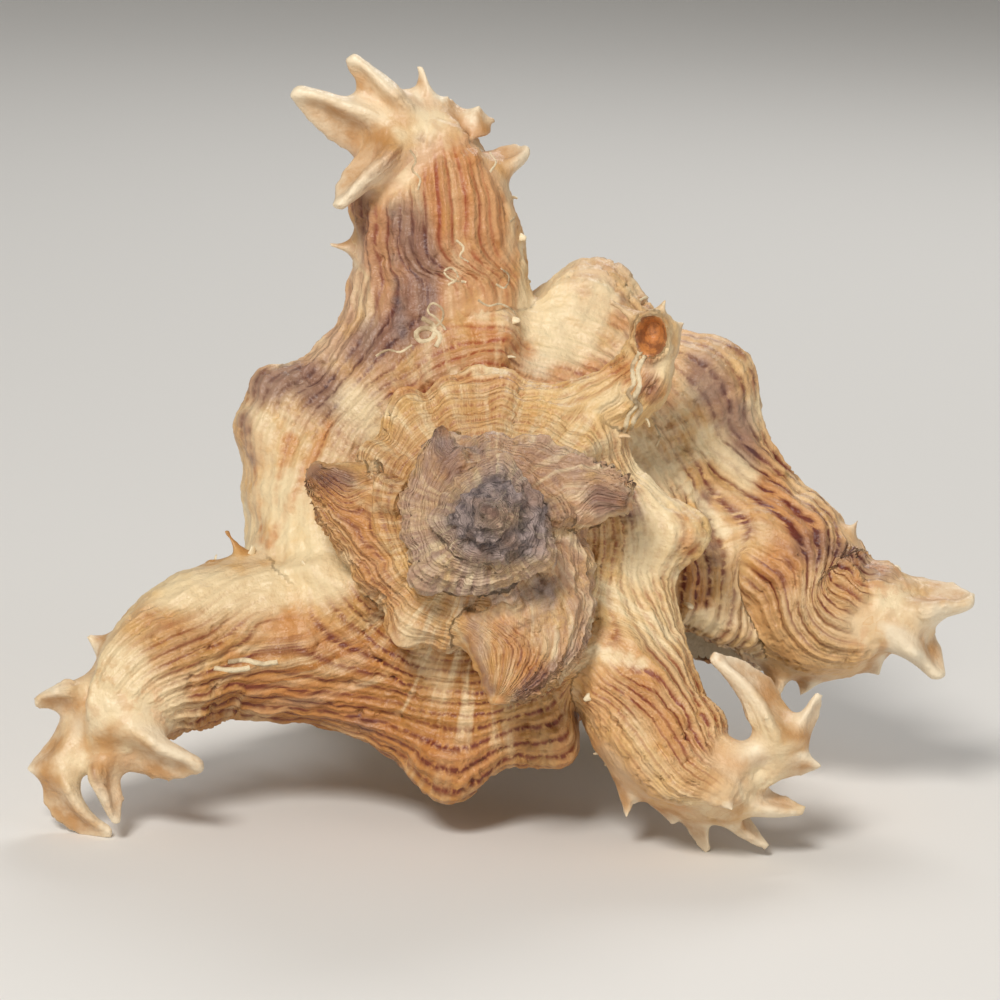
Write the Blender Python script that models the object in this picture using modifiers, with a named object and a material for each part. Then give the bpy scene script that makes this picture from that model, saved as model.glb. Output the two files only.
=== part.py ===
"""Murex shell lying on two of its fronds and the tip of its canal, with the spire raised towards -Y.

Everything is worked out in the shell's own frame, in millimetres: the apex is the origin, +Z runs out of
the apex along the coiling axis, and a place is given by its reach from that axis, its bearing (degrees
anticlockwise, seen looking down on the apex) and its depth below the apex. Growth is a turn in degrees
before the outer lip, so the lip is 0 and one whorl earlier is -360. Seen from the apex the shell grows
clockwise. The finished solid is then turned and set down in the frame of the part, in metres.
"""

import math

import bmesh
import bpy
import numpy as np
from mathutils import Matrix, Vector

MM = 0.001

# Coiling: a logarithmic spiral, whose size grows by this ratio in each whorl
WHORL_RATIO = 1.72
LIP_BEARING = 340.0
FIRST_GROWTH = -2340.0
LAST_WHORL = -520.0
EARLY_STEP = 3.0
LATE_STEP = 1.0

# Section of the whorl at the lip: reach and depth from the suture over the shoulder to the base
OUTER_PROFILE = [
    (28.5, 54.5), (36.5, 58.0), (44.5, 62.5), (51.0, 67.5), (54.8, 73.5), (55.6, 82.0),
    (53.6, 92.0), (48.5, 102.5), (40.5, 112.5), (31.0, 121.5), (21.5, 129.0),
]
# and back up beside the axis, inside the shell
INNER_PROFILE = [(12.0, 134.0), (2.0, 132.0), (-1.5, 118.0), (-1.5, 84.0), (4.0, 60.0), (16.0, 53.0)]
SHOULDER_POINT = 4
PROFILE_STEPS = 90

# Varices: growth angle of each one's front, from the lip back up the spire
VARICES = [0.0, -99.0, -207.0, -320.0, -414.0, -532.0, -652.0, -742.0, -846.0]
EARLY_VARIX_SPACING = 107.0
VARIX_HEIGHT = 5.0
VARIX_BACK_SLOPE = 20.0
VARIX_FRONT_SLOPE = 3.0

# Knobs between the varices: growth angle, height and half width (mm and degrees) at that growth
KNOBS = [
    (-55.0, 11.0, 12.0), (-80.0, 5.5, 13.0), (-161.0, 5.0, 6.0), (-172.0, 4.5, 6.0), (-194.0, -2.2, 11.0),
    (-283.0, 9.0, 11.0), (-312.0, 6.5, 13.0), (-357.0, 9.0, 8.0), (-382.0, 9.0, 10.0), (-470.0, 2.4, 7.0),
    (-500.0, 2.4, 7.0), (-592.0, -1.2, 9.0), (-616.0, 3.0, 7.0), (-695.0, 3.0, 10.0), (-795.0, 2.5, 10.0),
]
KNOB_ABOVE = 9.0
KNOB_BELOW = 17.0

# Spiral ridges, the cords: the main ones stand this far apart and this high
CORD_PITCH = 6.0
CORD_HEIGHT = 0.45
# Knobs, varices and cords fade out over this much of the section at the suture and at the base
SUTURE_FADE = 8.0
BASE_FADE = 10.0

# Arms: the shoulder frond of each varix, drawn out of the whorl. First its foot on the whorl: growth
# angle of its middle, how many degrees it reaches back and forward, and half its height in mm. Then
# points of its middle: reach, bearing, depth, half its thickness from back to front, half its width
ARMS = {
    "lip": ((-18, 23, 13, 15), [
        (51, 2, 72, 14, 16), (57, 355, 71, 14.5, 15), (64, 349.5, 68, 14, 13), (71, 350.5, 65, 12.5, 11),
        (75, 352, 63, 9.5, 8.5),
    ]),
    "upper": ((-115, 32, 20, 15), [
        (42, 97, 62, 16, 15), (50, 95.5, 61, 16, 14.5), (58, 95, 58, 16, 13.5), (66, 95.5, 55, 15.5, 12),
        (72, 96, 52, 12.5, 9),
    ]),
    "left": ((-224, 38, 16, 14), [
        (36, 206, 53, 14, 14), (43, 201, 52, 14, 13), (50, 199.5, 50, 13.5, 12.5), (61, 201.5, 46, 12.5, 11),
        (70, 205.5, 43, 9.5, 8.5),
    ]),
    "right": ((-332, 30, 14, 12), [
        (31, 321, 42, 10.5, 12), (37, 316, 42, 10.5, 12), (44, 311.5, 41, 11, 12), (53, 311, 39, 10.5, 10),
        (60, 313, 36, 8, 7),
    ]),
    "older": ((-425, 14, 9, 7), [
        (31, 47, 39, 5.5, 6.5), (36, 43, 38, 5.5, 6), (41, 44.5, 35, 5.2, 5.2), (46, 50, 30, 4.2, 3.8),
    ]),
    "spire_left": ((-544, 22, 13, 6), [
        (22, 168, 33, 5, 5.5), (25, 163, 32, 3.8, 3.6), (28.5, 160, 30.5, 1.8, 1.6),
    ]),
    "spire_low": ((-666, 24, 14, 6), [
        (18, 292, 27.5, 5, 5), (22, 286, 26.5, 4, 3.6), (26, 280, 25, 2.4, 2.2), (27.8, 278, 24.3, 1.5, 1.4),
    ]),
    "spire_right": ((-758, 22, 13, 4.5), [
        (16, 20, 22.5, 3, 3.4), (20, 13, 22, 2.6, 2.4), (24.2, 9.5, 20.4, 1.3, 1.2),
    ]),
    "spire_top": ((-857, 22, 13, 3.5), [
        (13.5, 121, 18, 2, 2.4), (15.5, 117, 17, 1.6, 1.6), (17.2, 113, 16.2, 1, 1),
    ]),
}
# In shares of the foot: where the arm starts to leave the whorl, where it has left it, and its round end.
# Then the dome on that end, as a share of its half width, and the groove down its front
ARM_EDGE = 1.30
ARM_FULL = 0.80
ARM_CAP = 0.24
ARM_DOME = 0.6
ARM_GROOVE = 0.22
GROOVE_WIDTH = 0.75

# Branches at the arms' ends: root (reach, bearing, depth), heading and curl (degrees, seen from the
# apex), length, half the breadth at the root, and rise towards the apex
BRANCHES = [
    # upper arm
    ((70, 100, 51), 151, 8, 22, 6.0, 5), ((72, 99, 49), 130, 0, 17, 5.0, 5),
    ((74, 96, 50), 108, -10, 10, 3.0, 3), ((71, 101, 47), 215, 30, 17, 5.2, 4),
    ((72, 93, 51), 98, 0, 8, 2.4, 2), ((70, 89, 51), 98, 0, 8, 2.4, 2), ((68, 86, 53), 28, -10, 7, 3.8, 1),
    # left arm
    ((70, 207, 41), 308, 55, 18.5, 6.0, 3), ((74, 210.5, 42), 290, -12, 12, 3.8, 0),
    ((81, 208.5, 45), 262, 95, 17, 4.2, -1), ((77, 207, 45), 205, 10, 10, 4.2, -1),
    ((72, 202.5, 44), 188, -8, 9, 4.2, 0), ((64, 198.5, 45), 145, 0, 7, 3.6, 2),
    # right arm
    ((57, 314, 37), 8, 30, 16, 6.2, 0), ((63, 325, 36), 100, 60, 21, 4.4, 5),
    ((64, 327, 36), 55, 20, 9, 3.2, 3), ((63, 322, 37), 350, 20, 9, 3.6, 0),
    ((59, 313, 40), 352, -8, 16, 4.6, -1), ((57, 311, 42), 332, -20, 16, 4.0, -3),
    ((56, 309, 44), 292, 5, 11, 3.6, -4), ((54, 311, 35), 322, -6, 10, 2.6, 4),
    ((46, 301, 38), 84, 0, 9, 2.2, 5), ((52, 305, 43), 300, 0, 8, 3.0, -3),
    ((47, 302, 42), 275, 0, 8, 3.0, -2),
    # lip arm
    ((75, 352.5, 62), 20, -35, 14, 5.4, 4), ((74, 351, 63), 340, -60, 15, 5.2, 0),
    ((68, 351, 63), 355, -70, 15, 5.4, 6), ((70, 348, 67), 300, 0, 9, 3.8, -3),
    ((64, 344.5, 70), 250, 0, 9, 3.6, -4), ((58, 341, 72), 262, 0, 8, 3.4, -4),
    # older arm
    ((45, 50, 29), 108, 50, 10, 2.6, 5), ((45, 47, 31), 76, 0, 8, 2.2, 3),
]
TIP_BREADTH = 1.1
TAPER_POWER = 1.6
FROND_THINNER = 0.8
FROND_GROOVE = 0.45

# Lower fronds down each varix: share of the whorl's section from shoulder to base, length in mm at the
# lip, how far it points down the canal in degrees, and how far it bends back, as a share of its length
LOWER_FRONDS = [
    (0.17, 21.0, 4.0, 0.95), (0.33, 17.0, 10.0, 0.35), (0.48, 22.0, 18.0, 0.60), (0.64, 16.0, 28.0, 0.40),
    (0.79, 20.0, 38.0, 0.50), (0.95, 15.0, 48.0, 0.40),
]
FRONDED_VARICES = [0.0, -99.0, -207.0]
FROND_BREADTH = 5.6
FROND_ROOT = 3.0
FROND_BEHIND = 5.0

# Siphonal canal: points of its middle (across, up, depth), half its width and half its thickness
CANAL = [
    (2, 2, 84, 9, 9), (3, 1, 98, 15.5, 14), (3, 0, 112, 16.5, 14.5), (4, -1, 126, 14.5, 13),
    (5, -3, 140, 11.5, 10.5), (5, -4, 156, 9.0, 8.5), (6, -3.5, 172, 7.4, 6.8), (8, -1, 186, 5.8, 5.0),
    (11, 4, 197, 3.8, 3.2),
]
# Canal fronds: share of the canal's length, bearing and length, and the way they all bend
CANAL_FRONDS = [
    (0.54, 10.0, 13.0), (0.66, 5.0, 12.0), (0.80, 12.0, 10.0), (0.60, 95.0, 10.0), (0.74, 88.0, 8.0),
]
CANAL_FROND_BEND = np.array([0.0, 0.2, -0.5])
CANAL_FROND_BREADTH = 2.8
# Ends of the two older canals, left as spurs beside the new one: root and tip, and half their breadth
OLD_CANALS = [((8, 6, 128), (-8, 16, 163), 6.0), ((-4, -4, 118), (-24, -6, 140), 5.5)]
OLD_CANAL_BOW = np.array([0.0, 4.0, 0.0])

# Hollow: the living chamber's section at the lip, how far it runs back, and how far past the lip it is cut
HOLLOW_PROFILE = [
    (35.0, 63.5), (43.5, 68.0), (50.5, 73.5), (53.2, 82.0), (51.5, 91.0), (46.0, 101.0),
    (37.5, 110.5), (28.0, 118.0), (19.5, 120.0), (15.5, 112.0), (17.5, 99.0), (21.5, 86.0), (27.0, 73.0),
]
HOLLOW_DEPTH = -230.0
HOLLOW_MOUTH = 16.0
HOLLOW_STEP = 6.0
HOLLOW_CLOSING = 40.0
HOLLOW_END = 0.25
HOLLOW_FLARE = 0.06
# Slit along the canal: points of its middle and half its width; it is this much deeper than wide
SLIT = [
    (16, -5, 108, 5.0), (11.5, -8, 124, 3.8), (8, -10.5, 142, 2.6), (7, -11, 160, 2.2), (8, -9.5, 178, 1.9),
    (12, -2, 203, 1.8),
]
SLIT_DEEPER = 1.9

# Where the shell lies: its lean and roll, and the place of its apex in the part's frame
LEAN = 18.39
ROLL = 1.57
APEX_PLACE = (-6.14, -95.37, 64.55)

SKIN_VOXEL = 1.2
TRIANGLES_KEPT = 9600
RING_SIDES = 20
UP = np.array([0.0, 0.0, 1.0])
APERTURE_SIDE = np.array([0.0, -1.0, 0.0])


def whorl_scale(growth):
    """Size of the whorl at this growth angle, as a share of its size at the lip."""
    return WHORL_RATIO ** (growth / 360.0)


def smooth_step(share):
    share = np.clip(share, 0.0, 1.0)
    return share * share * (3.0 - 2.0 * share)


def polar(reach, bearing, depth):
    """A point in the shell's frame."""
    turn = math.radians(bearing)
    return np.array([reach * math.cos(turn), reach * math.sin(turn), -depth])


def smooth_path(points, steps, closed=False):
    """Catmull-Rom curve through the rows of points, with steps points between each two."""
    rows = np.array(points, float)
    if closed:
        rows = np.vstack([rows[-1], rows, rows[:2]])
    else:
        rows = np.vstack([2 * rows[0] - rows[1], rows, 2 * rows[-1] - rows[-2]])
    out = []
    for i in range(1, len(rows) - 2):
        a, b, c, d = rows[i - 1 : i + 3]
        for t in np.linspace(0.0, 1.0, steps, endpoint=False):
            bend = (2 * a - 5 * b + 4 * c - d) * t**2 + (3 * b - a - 3 * c + d) * t**3
            out.append(0.5 * (2 * b + (c - a) * t + bend))
    if not closed:
        out.append(rows[-2])
    return np.array(out)


def evenly(path, count):
    """The same curve with count points, evenly spaced along its first two or three columns."""
    step = np.linalg.norm(np.diff(path[:, :3], axis=0), axis=1)
    along = np.concatenate([[0.0], np.cumsum(step)])
    wanted = np.linspace(0.0, along[-1], count)
    return np.column_stack([np.interp(wanted, along, column) for column in path.T])


def tube_mesh(name, rings):
    """A closed mesh through rings of equal point counts, given as an array (rings, points, 3) in mm."""
    rings = np.asarray(rings)
    rows, count = rings.shape[:2]
    here = (np.arange(rows - 1)[:, None] * count + np.arange(count)).ravel()
    beside = (np.arange(rows - 1)[:, None] * count + (np.arange(count) + 1) % count).ravel()
    faces = np.column_stack([here, beside, beside + count, here + count]).tolist()
    faces.append(list(range(count))[::-1])
    faces.append(list(range((rows - 1) * count, rows * count)))
    data = bpy.data.meshes.new(name)
    data.from_pydata((rings.reshape(-1, 3) * MM).tolist(), [], faces)
    mesh = bmesh.new()
    mesh.from_mesh(data)
    bmesh.ops.recalc_face_normals(mesh, faces=mesh.faces)
    mesh.to_mesh(data)
    mesh.free()
    return data


def varix_swell(growth):
    """How far the varices lift the whorl here, from 0 to 1: a long back slope and a steep front."""
    fronts = list(VARICES)
    while fronts[-1] > FIRST_GROWTH:
        fronts.append(fronts[-1] - EARLY_VARIX_SPACING)
    past = growth[:, None] - (np.array(fronts) - VARIX_FRONT_SLOPE)
    slope = np.where(past > 0, VARIX_FRONT_SLOPE, VARIX_BACK_SLOPE)
    return np.exp(-((past / slope) ** 2)).max(axis=1)


def knob_swell(growth):
    """Height of the knobs here, in mm at this growth."""
    return sum(high * np.exp(-(((growth - at) / wide) ** 2)) for at, high, wide in KNOBS)


def arm_rows(points):
    """A smooth path through an arm's points, with the way out along it, its front and its side."""
    rows = evenly(smooth_path([[*polar(*p[:3]), p[3], p[4]] for p in points], 8), 40)
    out = np.gradient(rows[:, :3], axis=0)
    out /= np.linalg.norm(out, axis=1)[:, None]
    front = np.cross(out, UP)
    front /= np.linalg.norm(front, axis=1)[:, None]
    return np.column_stack([rows, out, front, np.cross(out, front)])


def draw_out_arm(surface, growth, around, foot, points):
    """The whorl's surface with an arm drawn out of it. around is the distance from the shoulder."""
    middle, back, forward, high = foot
    from_middle = growth - middle
    u = from_middle / np.where(from_middle < 0, back, forward)
    v = around / high
    near = np.maximum(np.hypot(u, v), 1e-6)
    inside = near < ARM_EDGE
    u, v, near = u[inside] / near[inside], v[inside] / near[inside], near[inside]
    share = np.clip((1.0 - near) / (1.0 - ARM_CAP), 0.0, 1.0)
    rows = arm_rows(points)
    at = [np.interp(share, np.linspace(0.0, 1.0, len(rows)), column) for column in rows.T]
    middle_line, thick, wide = np.column_stack(at[:3]), at[3], at[4]
    out, front, side = np.column_stack(at[5:8]), np.column_stack(at[8:11]), np.column_stack(at[11:14])
    open_front = 1.0 - ARM_GROOVE * np.exp(-((np.arctan2(v, u) / GROOVE_WIDTH) ** 2)) * share
    shrink = np.sin(np.clip(near / ARM_CAP, 0.0, 1.0) * math.pi / 2)
    dome = np.cos(np.clip(near / ARM_CAP, 0.0, 1.0) * math.pi / 2) * wide * ARM_DOME
    drawn = (
        middle_line
        + front * (thick * open_front * u * shrink)[:, None]
        + side * (wide * v * shrink)[:, None]
        + out * dome[:, None]
    )
    blend = smooth_step((ARM_EDGE - near) / (ARM_EDGE - ARM_FULL))[:, None]
    surface = surface.copy()
    surface[inside] += (drawn - surface[inside]) * blend
    return surface


def whorl_rings():
    """Sections of the whorl from the apex to the lip, with knobs, varices, cords and the arms."""
    outer = evenly(smooth_path(OUTER_PROFILE, 12), PROFILE_STEPS)
    inner = smooth_path([OUTER_PROFILE[-1], *INNER_PROFILE, OUTER_PROFILE[0]], 4)[1:-1]
    along = np.concatenate([[0.0], np.cumsum(np.linalg.norm(np.diff(outer, axis=0), axis=1))])
    shoulder = along[np.argmin(np.linalg.norm(outer - np.array(OUTER_PROFILE[SHOULDER_POINT]), axis=1))]
    tangent = np.gradient(outer, axis=0)
    normal = np.column_stack([tangent[:, 1], -tangent[:, 0]])
    normal /= np.linalg.norm(normal, axis=1)[:, None]
    from_shoulder = along - shoulder
    knob_window = np.exp(-((from_shoulder / np.where(from_shoulder < 0, KNOB_ABOVE, KNOB_BELOW)) ** 2))
    edge = np.clip(along / SUTURE_FADE, 0.0, 1.0) * np.clip((along[-1] - along) / BASE_FADE, 0.0, 1.0)

    early = np.arange(FIRST_GROWTH, LAST_WHORL, EARLY_STEP)
    growth = np.concatenate([early, np.arange(LAST_WHORL, LATE_STEP / 2, LATE_STEP)])
    scale = whorl_scale(growth)[:, None]
    around = from_shoulder * scale
    cords = CORD_HEIGHT * np.cos(2 * math.pi * around / CORD_PITCH)
    lift = knob_swell(growth)[:, None] * knob_window
    lift = lift + (VARIX_HEIGHT * scale * varix_swell(growth)[:, None] + cords) * edge
    section = np.concatenate([
        outer * scale[..., None] + normal * lift[..., None],
        inner * scale[..., None],
    ], axis=1)
    bearing = np.radians(LIP_BEARING - growth)[:, None]
    surface = np.stack([
        section[..., 0] * np.cos(bearing), section[..., 0] * np.sin(bearing), -section[..., 1],
    ], axis=-1)
    skin = surface[:, :PROFILE_STEPS]
    for foot, points in ARMS.values():
        skin = draw_out_arm(skin, np.broadcast_to(growth[:, None], around.shape), around, foot, points)
    surface[:, :PROFILE_STEPS] = skin
    return surface


def oval_rings(centres, halves, fronts, groove=0.0):
    """Oval sections along a frond or the canal. halves are its half thickness and half width, fronts the
    way to its front at each point, and groove the share of the thickness that its front is cut in."""
    along = np.gradient(centres, axis=0)
    along /= np.linalg.norm(along, axis=1)[:, None]
    front = fronts - along * np.sum(fronts * along, axis=1)[:, None]
    front /= np.linalg.norm(front, axis=1)[:, None]
    across = np.cross(along, front)
    turn = np.linspace(0.0, 2 * math.pi, RING_SIDES, endpoint=False)
    share = np.sin(np.linspace(0.0, math.pi, len(centres)))
    from_front = np.minimum(turn, 2 * math.pi - turn)
    cut = 1.0 - groove * np.exp(-((from_front / GROOVE_WIDTH) ** 2)) * share[:, None]
    return (
        centres[:, None]
        + front[:, None] * (halves[:, 0, None] * np.cos(turn) * cut)[..., None]
        + across[:, None] * (halves[:, 1, None] * np.sin(turn))[..., None]
    )


def growth_way(points):
    """The way the shell grows at these points: clockwise about the axis, seen from the apex."""
    bearing = np.arctan2(points[..., 1], points[..., 0])
    return np.stack([np.sin(bearing), -np.cos(bearing), np.zeros_like(bearing)], axis=-1)


def tapered(breadth, count, sharp=0.22):
    """Half sizes of a horn that keeps its breadth at first and then narrows to a blunt point."""
    t = np.linspace(0.0, 1.0, count)
    return np.maximum(TIP_BREADTH, breadth * (sharp + (1 - sharp) * (1 - t**TAPER_POWER)))


def branch_rings(root, heading, curl, length, breadth, rise, count=9):
    """A branch that starts at root and turns by curl over its length, its front towards the base."""
    turn = np.radians(heading + curl * (np.arange(count - 1) + 0.5) / (count - 1))
    steps = np.column_stack([np.cos(turn) * length, np.sin(turn) * length, np.full(count - 1, rise)])
    centres = polar(*root) + np.vstack([np.zeros(3), np.cumsum(steps / (count - 1), axis=0)])
    size = tapered(breadth, count)
    halves = np.column_stack([size * FROND_THINNER, size])
    return oval_rings(centres, halves, np.tile(-UP, (count, 1)), FROND_GROOVE)


def lower_frond_rings(front, share, length, droop, bend, count=8):
    """A frond lower down a varix: out of the whorl, bent back against the growth, its front open."""
    scale = whorl_scale(front)
    profile = evenly(smooth_path(OUTER_PROFILE[SHOULDER_POINT:], 12), 40)
    reach, depth = profile[int(share * 39)] * scale
    bearing = LIP_BEARING - front + FROND_BEHIND
    base = polar(reach - FROND_ROOT, bearing, depth)
    outward = polar(1.0, bearing, 0.0) * math.cos(math.radians(droop)) - UP * math.sin(math.radians(droop))
    t = np.linspace(0.0, 1.0, count)[:, None]
    length = length * scale
    centres = base + outward * (length + FROND_ROOT) * t - growth_way(base) * bend * length * t**2
    size = tapered(FROND_BREADTH * scale, count)
    halves = np.column_stack([size * FROND_THINNER, size])
    return oval_rings(centres, halves, growth_way(centres), FROND_GROOVE)


def tube_along(points, fronts):
    rows = smooth_path(points, 5)
    return oval_rings(rows[:, :3], rows[:, 3:], np.tile(fronts, (len(rows), 1)))


def canal_rings():
    return tube_along([(x, y, -depth, thick, wide) for x, y, depth, wide, thick in CANAL], APERTURE_SIDE)


def canal_frond_rings(share, bearing, length, count=8):
    rows = smooth_path(CANAL, 5)
    x, y, depth, wide, _ = rows[int(share * (len(rows) - 1))]
    t = np.linspace(0.0, 1.0, count)[:, None]
    outward = polar(1.0, bearing, 0.0) * (wide * 0.5 + length * t)
    centres = np.array([x, y, -depth]) + outward + CANAL_FROND_BEND * length * t**1.5
    size = tapered(CANAL_FROND_BREADTH, count)
    halves = np.column_stack([size, size])
    return oval_rings(centres, halves, np.tile(APERTURE_SIDE, (count, 1)), FROND_GROOVE)


def old_canal_rings(root, tip, breadth, count=9):
    start, end = (np.array([x, y, -depth]) for x, y, depth in (root, tip))
    t = np.linspace(0.0, 1.0, count)[:, None]
    centres = start + (end - start) * t + OLD_CANAL_BOW * np.sin(t * math.pi)
    size = tapered(breadth, count, 0.4)
    halves = np.column_stack([size * FROND_THINNER, size])
    return oval_rings(centres, halves, np.tile(APERTURE_SIDE, (count, 1)), FROND_GROOVE)


def growth_pieces():
    """Every form that the shell is grown from, as meshes that overlap."""
    pieces = [tube_mesh("whorls", whorl_rings())]
    pieces += [tube_mesh("branch", branch_rings(*branch)) for branch in BRANCHES]
    for front in FRONDED_VARICES:
        pieces += [tube_mesh("lower_frond", lower_frond_rings(front, *frond)) for frond in LOWER_FRONDS]
    pieces.append(tube_mesh("canal", canal_rings()))
    pieces += [tube_mesh("canal_frond", canal_frond_rings(*frond)) for frond in CANAL_FRONDS]
    pieces += [tube_mesh("old_canal", old_canal_rings(*canal)) for canal in OLD_CANALS]
    return pieces


def hollow_rings():
    """The living chamber: a smaller whorl section, swept from in front of the lip back into the shell."""
    section = smooth_path(HOLLOW_PROFILE, 3, closed=True)
    middle = section.mean(axis=0)
    rings = []
    for growth in np.arange(HOLLOW_DEPTH, HOLLOW_MOUTH + 1.0, HOLLOW_STEP):
        narrow = min(1.0, HOLLOW_END + (growth - HOLLOW_DEPTH) / HOLLOW_CLOSING)
        flare = 1.0 + HOLLOW_FLARE * max(0.0, growth / HOLLOW_STEP + 1.0) / 2.0
        loop = (middle + (section - middle) * narrow * flare) * whorl_scale(min(growth, 0.0))
        rings.append([polar(reach, LIP_BEARING - growth, depth) for reach, depth in loop])
    return np.array(rings)


def slit_rings():
    return tube_along([(x, y, -depth, half * SLIT_DEEPER, half) for x, y, depth, half in SLIT], APERTURE_SIDE)


def joined_object(name, pieces, collection):
    mesh = bmesh.new()
    for piece in pieces:
        mesh.from_mesh(piece)
        bpy.data.meshes.remove(piece)
    data = bpy.data.meshes.new(name)
    mesh.to_mesh(data)
    mesh.free()
    obj = bpy.data.objects.new(name, data)
    collection.objects.link(obj)
    return obj


def shell_material():
    material = bpy.data.materials.new("shell")
    material.use_nodes = True
    surface = material.node_tree.nodes["Principled BSDF"]
    surface.inputs["Base Color"].default_value = (0.62, 0.42, 0.24, 1.0)
    surface.inputs["Roughness"].default_value = 0.45
    surface.inputs["Metallic"].default_value = 0.0
    return material


def resting_place():
    """Turns the shell about its axis, leans the spire up towards -Y and sets it down."""
    upright = Matrix.Rotation(math.radians(90.0 - LEAN), 4, "X")
    return Matrix.Translation(Vector(APEX_PLACE) * MM) @ upright @ Matrix.Rotation(math.radians(ROLL), 4, "Z")


def build():
    for old in list(bpy.data.objects):
        bpy.data.objects.remove(old)
    shown = bpy.data.collections.new("murex_shell")
    cutters = bpy.data.collections.new("cutters")
    bpy.context.scene.collection.children.link(shown)
    bpy.context.scene.collection.children.link(cutters)

    shell = joined_object("shell", growth_pieces(), shown)
    shell.data.materials.append(shell_material())
    skin = shell.modifiers.new("grown_together", "REMESH")
    skin.mode = "VOXEL"
    skin.voxel_size = SKIN_VOXEL * MM

    for name, rings in (("chamber", hollow_rings()), ("canal_slit", slit_rings())):
        cutter = joined_object(name, [tube_mesh(name, rings)], cutters)
        cutter.hide_render = True
        cutter.display_type = "WIRE"
        cutter.matrix_world = resting_place()
        cut = shell.modifiers.new(f"{name}_cut", "BOOLEAN")
        cut.object = cutter

    shell.matrix_world = resting_place()
    bpy.context.view_layer.update()
    evaluated = shell.evaluated_get(bpy.context.evaluated_depsgraph_get())
    faces = sum(len(face.vertices) - 2 for face in evaluated.data.polygons)
    thin = shell.modifiers.new("facets", "DECIMATE")
    thin.ratio = TRIANGLES_KEPT / faces


build()
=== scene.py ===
"""A grown murex shell, seen from above its spire, lying on two of its arms and the tip of its canal.

The shell is worked out upright, in millimetres: the apex is the origin, +Z runs out of the apex along the
coiling axis, and a place is given by its reach from that axis, its bearing (degrees anticlockwise, looking
down on the apex) and its depth below the apex. Growth is a turn in degrees before the outer lip: the lip
is 0, one whorl earlier is -360. The sections follow the shell as it grows and ends: whorls, arms,
branches, lower fronds, canal, living chamber, then its skin, relief, colour and the crusts on it.
"""

import math

import bmesh
import bpy
import numpy as np
from mathutils import Matrix, Vector
from mathutils.bvhtree import BVHTree


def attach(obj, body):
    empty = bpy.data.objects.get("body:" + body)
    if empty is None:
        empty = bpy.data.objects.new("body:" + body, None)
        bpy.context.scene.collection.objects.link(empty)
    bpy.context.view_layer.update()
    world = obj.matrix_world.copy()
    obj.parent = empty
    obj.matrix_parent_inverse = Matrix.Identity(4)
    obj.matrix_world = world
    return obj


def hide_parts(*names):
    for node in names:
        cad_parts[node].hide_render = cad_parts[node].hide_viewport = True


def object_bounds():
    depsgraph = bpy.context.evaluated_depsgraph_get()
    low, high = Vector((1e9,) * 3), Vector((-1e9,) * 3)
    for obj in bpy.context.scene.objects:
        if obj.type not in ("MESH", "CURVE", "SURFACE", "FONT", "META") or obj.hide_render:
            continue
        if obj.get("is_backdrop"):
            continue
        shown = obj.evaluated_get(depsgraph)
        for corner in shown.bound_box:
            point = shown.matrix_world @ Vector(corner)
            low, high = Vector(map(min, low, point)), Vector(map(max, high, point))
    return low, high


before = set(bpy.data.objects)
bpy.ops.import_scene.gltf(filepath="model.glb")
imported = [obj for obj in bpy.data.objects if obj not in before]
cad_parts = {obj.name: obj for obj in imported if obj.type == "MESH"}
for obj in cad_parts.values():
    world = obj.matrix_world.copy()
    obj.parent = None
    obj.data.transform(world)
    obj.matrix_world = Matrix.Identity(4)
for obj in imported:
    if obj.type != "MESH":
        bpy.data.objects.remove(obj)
cad_low, cad_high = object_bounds()

# Where the shell lies. Its axis leans, so that the spire is raised towards -Y, and it is rolled until
# the left arm, the right arm and the tip of the canal touch the floor.
MM = 0.001
LEAN = 18.39
ROLL = 1.57
APEX_PLACE = (-6.14, -95.37, 64.55)
shell_place = (
    Matrix.Translation(Vector(APEX_PLACE) * MM)
    @ Matrix.Rotation(math.radians(90.0 - LEAN), 4, "X")
    @ Matrix.Rotation(math.radians(ROLL), 4, "Z")
)


def polar(reach, bearing, depth):
    """Points of the upright shell, in millimetres, from numbers or arrays."""
    turn = np.radians(bearing)
    return np.stack(np.broadcast_arrays(reach * np.cos(turn), reach * np.sin(turn), -depth), axis=-1)


def set_down(points):
    """Points of the upright shell in mm, as they lie on the floor, in metres."""
    turned = np.array(shell_place.to_3x3())
    return np.asarray(points) * MM @ turned.T + np.array(shell_place.translation)


# The camera looks almost straight down the coiling axis from 0.7 m, a few degrees from its side, so that
# the arms spread round the spire.
VIEW_TILT = (0.053, 0.108)
APEX_IN_PHOTO = (490.0, 512.0)
FRAME_PIXELS = 1000.0
PIXELS_PER_RADIAN = 4343.0
VIEW_DISTANCE = 700.0
FILM_WIDTH = 36.0

towards_camera = Vector((*VIEW_TILT, math.sqrt(1.0 - VIEW_TILT[0] ** 2 - VIEW_TILT[1] ** 2)))
across_view = (Vector((1.0, 0.0, 0.0)) - towards_camera * towards_camera.x).normalized()
view_turn = Matrix((across_view, towards_camera.cross(across_view), towards_camera))
apex_seen = Vector((
    (APEX_IN_PHOTO[0] - FRAME_PIXELS / 2) * VIEW_DISTANCE / PIXELS_PER_RADIAN,
    (FRAME_PIXELS / 2 - APEX_IN_PHOTO[1]) * VIEW_DISTANCE / PIXELS_PER_RADIAN,
    -VIEW_DISTANCE,
))
camera_data = bpy.data.cameras.new("camera")
camera_data.sensor_width = FILM_WIDTH
camera_data.lens = PIXELS_PER_RADIAN * FILM_WIDTH / FRAME_PIXELS
camera_data.clip_start = 0.01
camera = bpy.data.objects.new("camera", camera_data)
camera.matrix_world = shell_place @ Matrix.Translation(view_turn @ -apex_seen * MM) @ view_turn.to_4x4()
bpy.context.scene.collection.objects.link(camera)
bpy.context.scene.camera = camera


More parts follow.
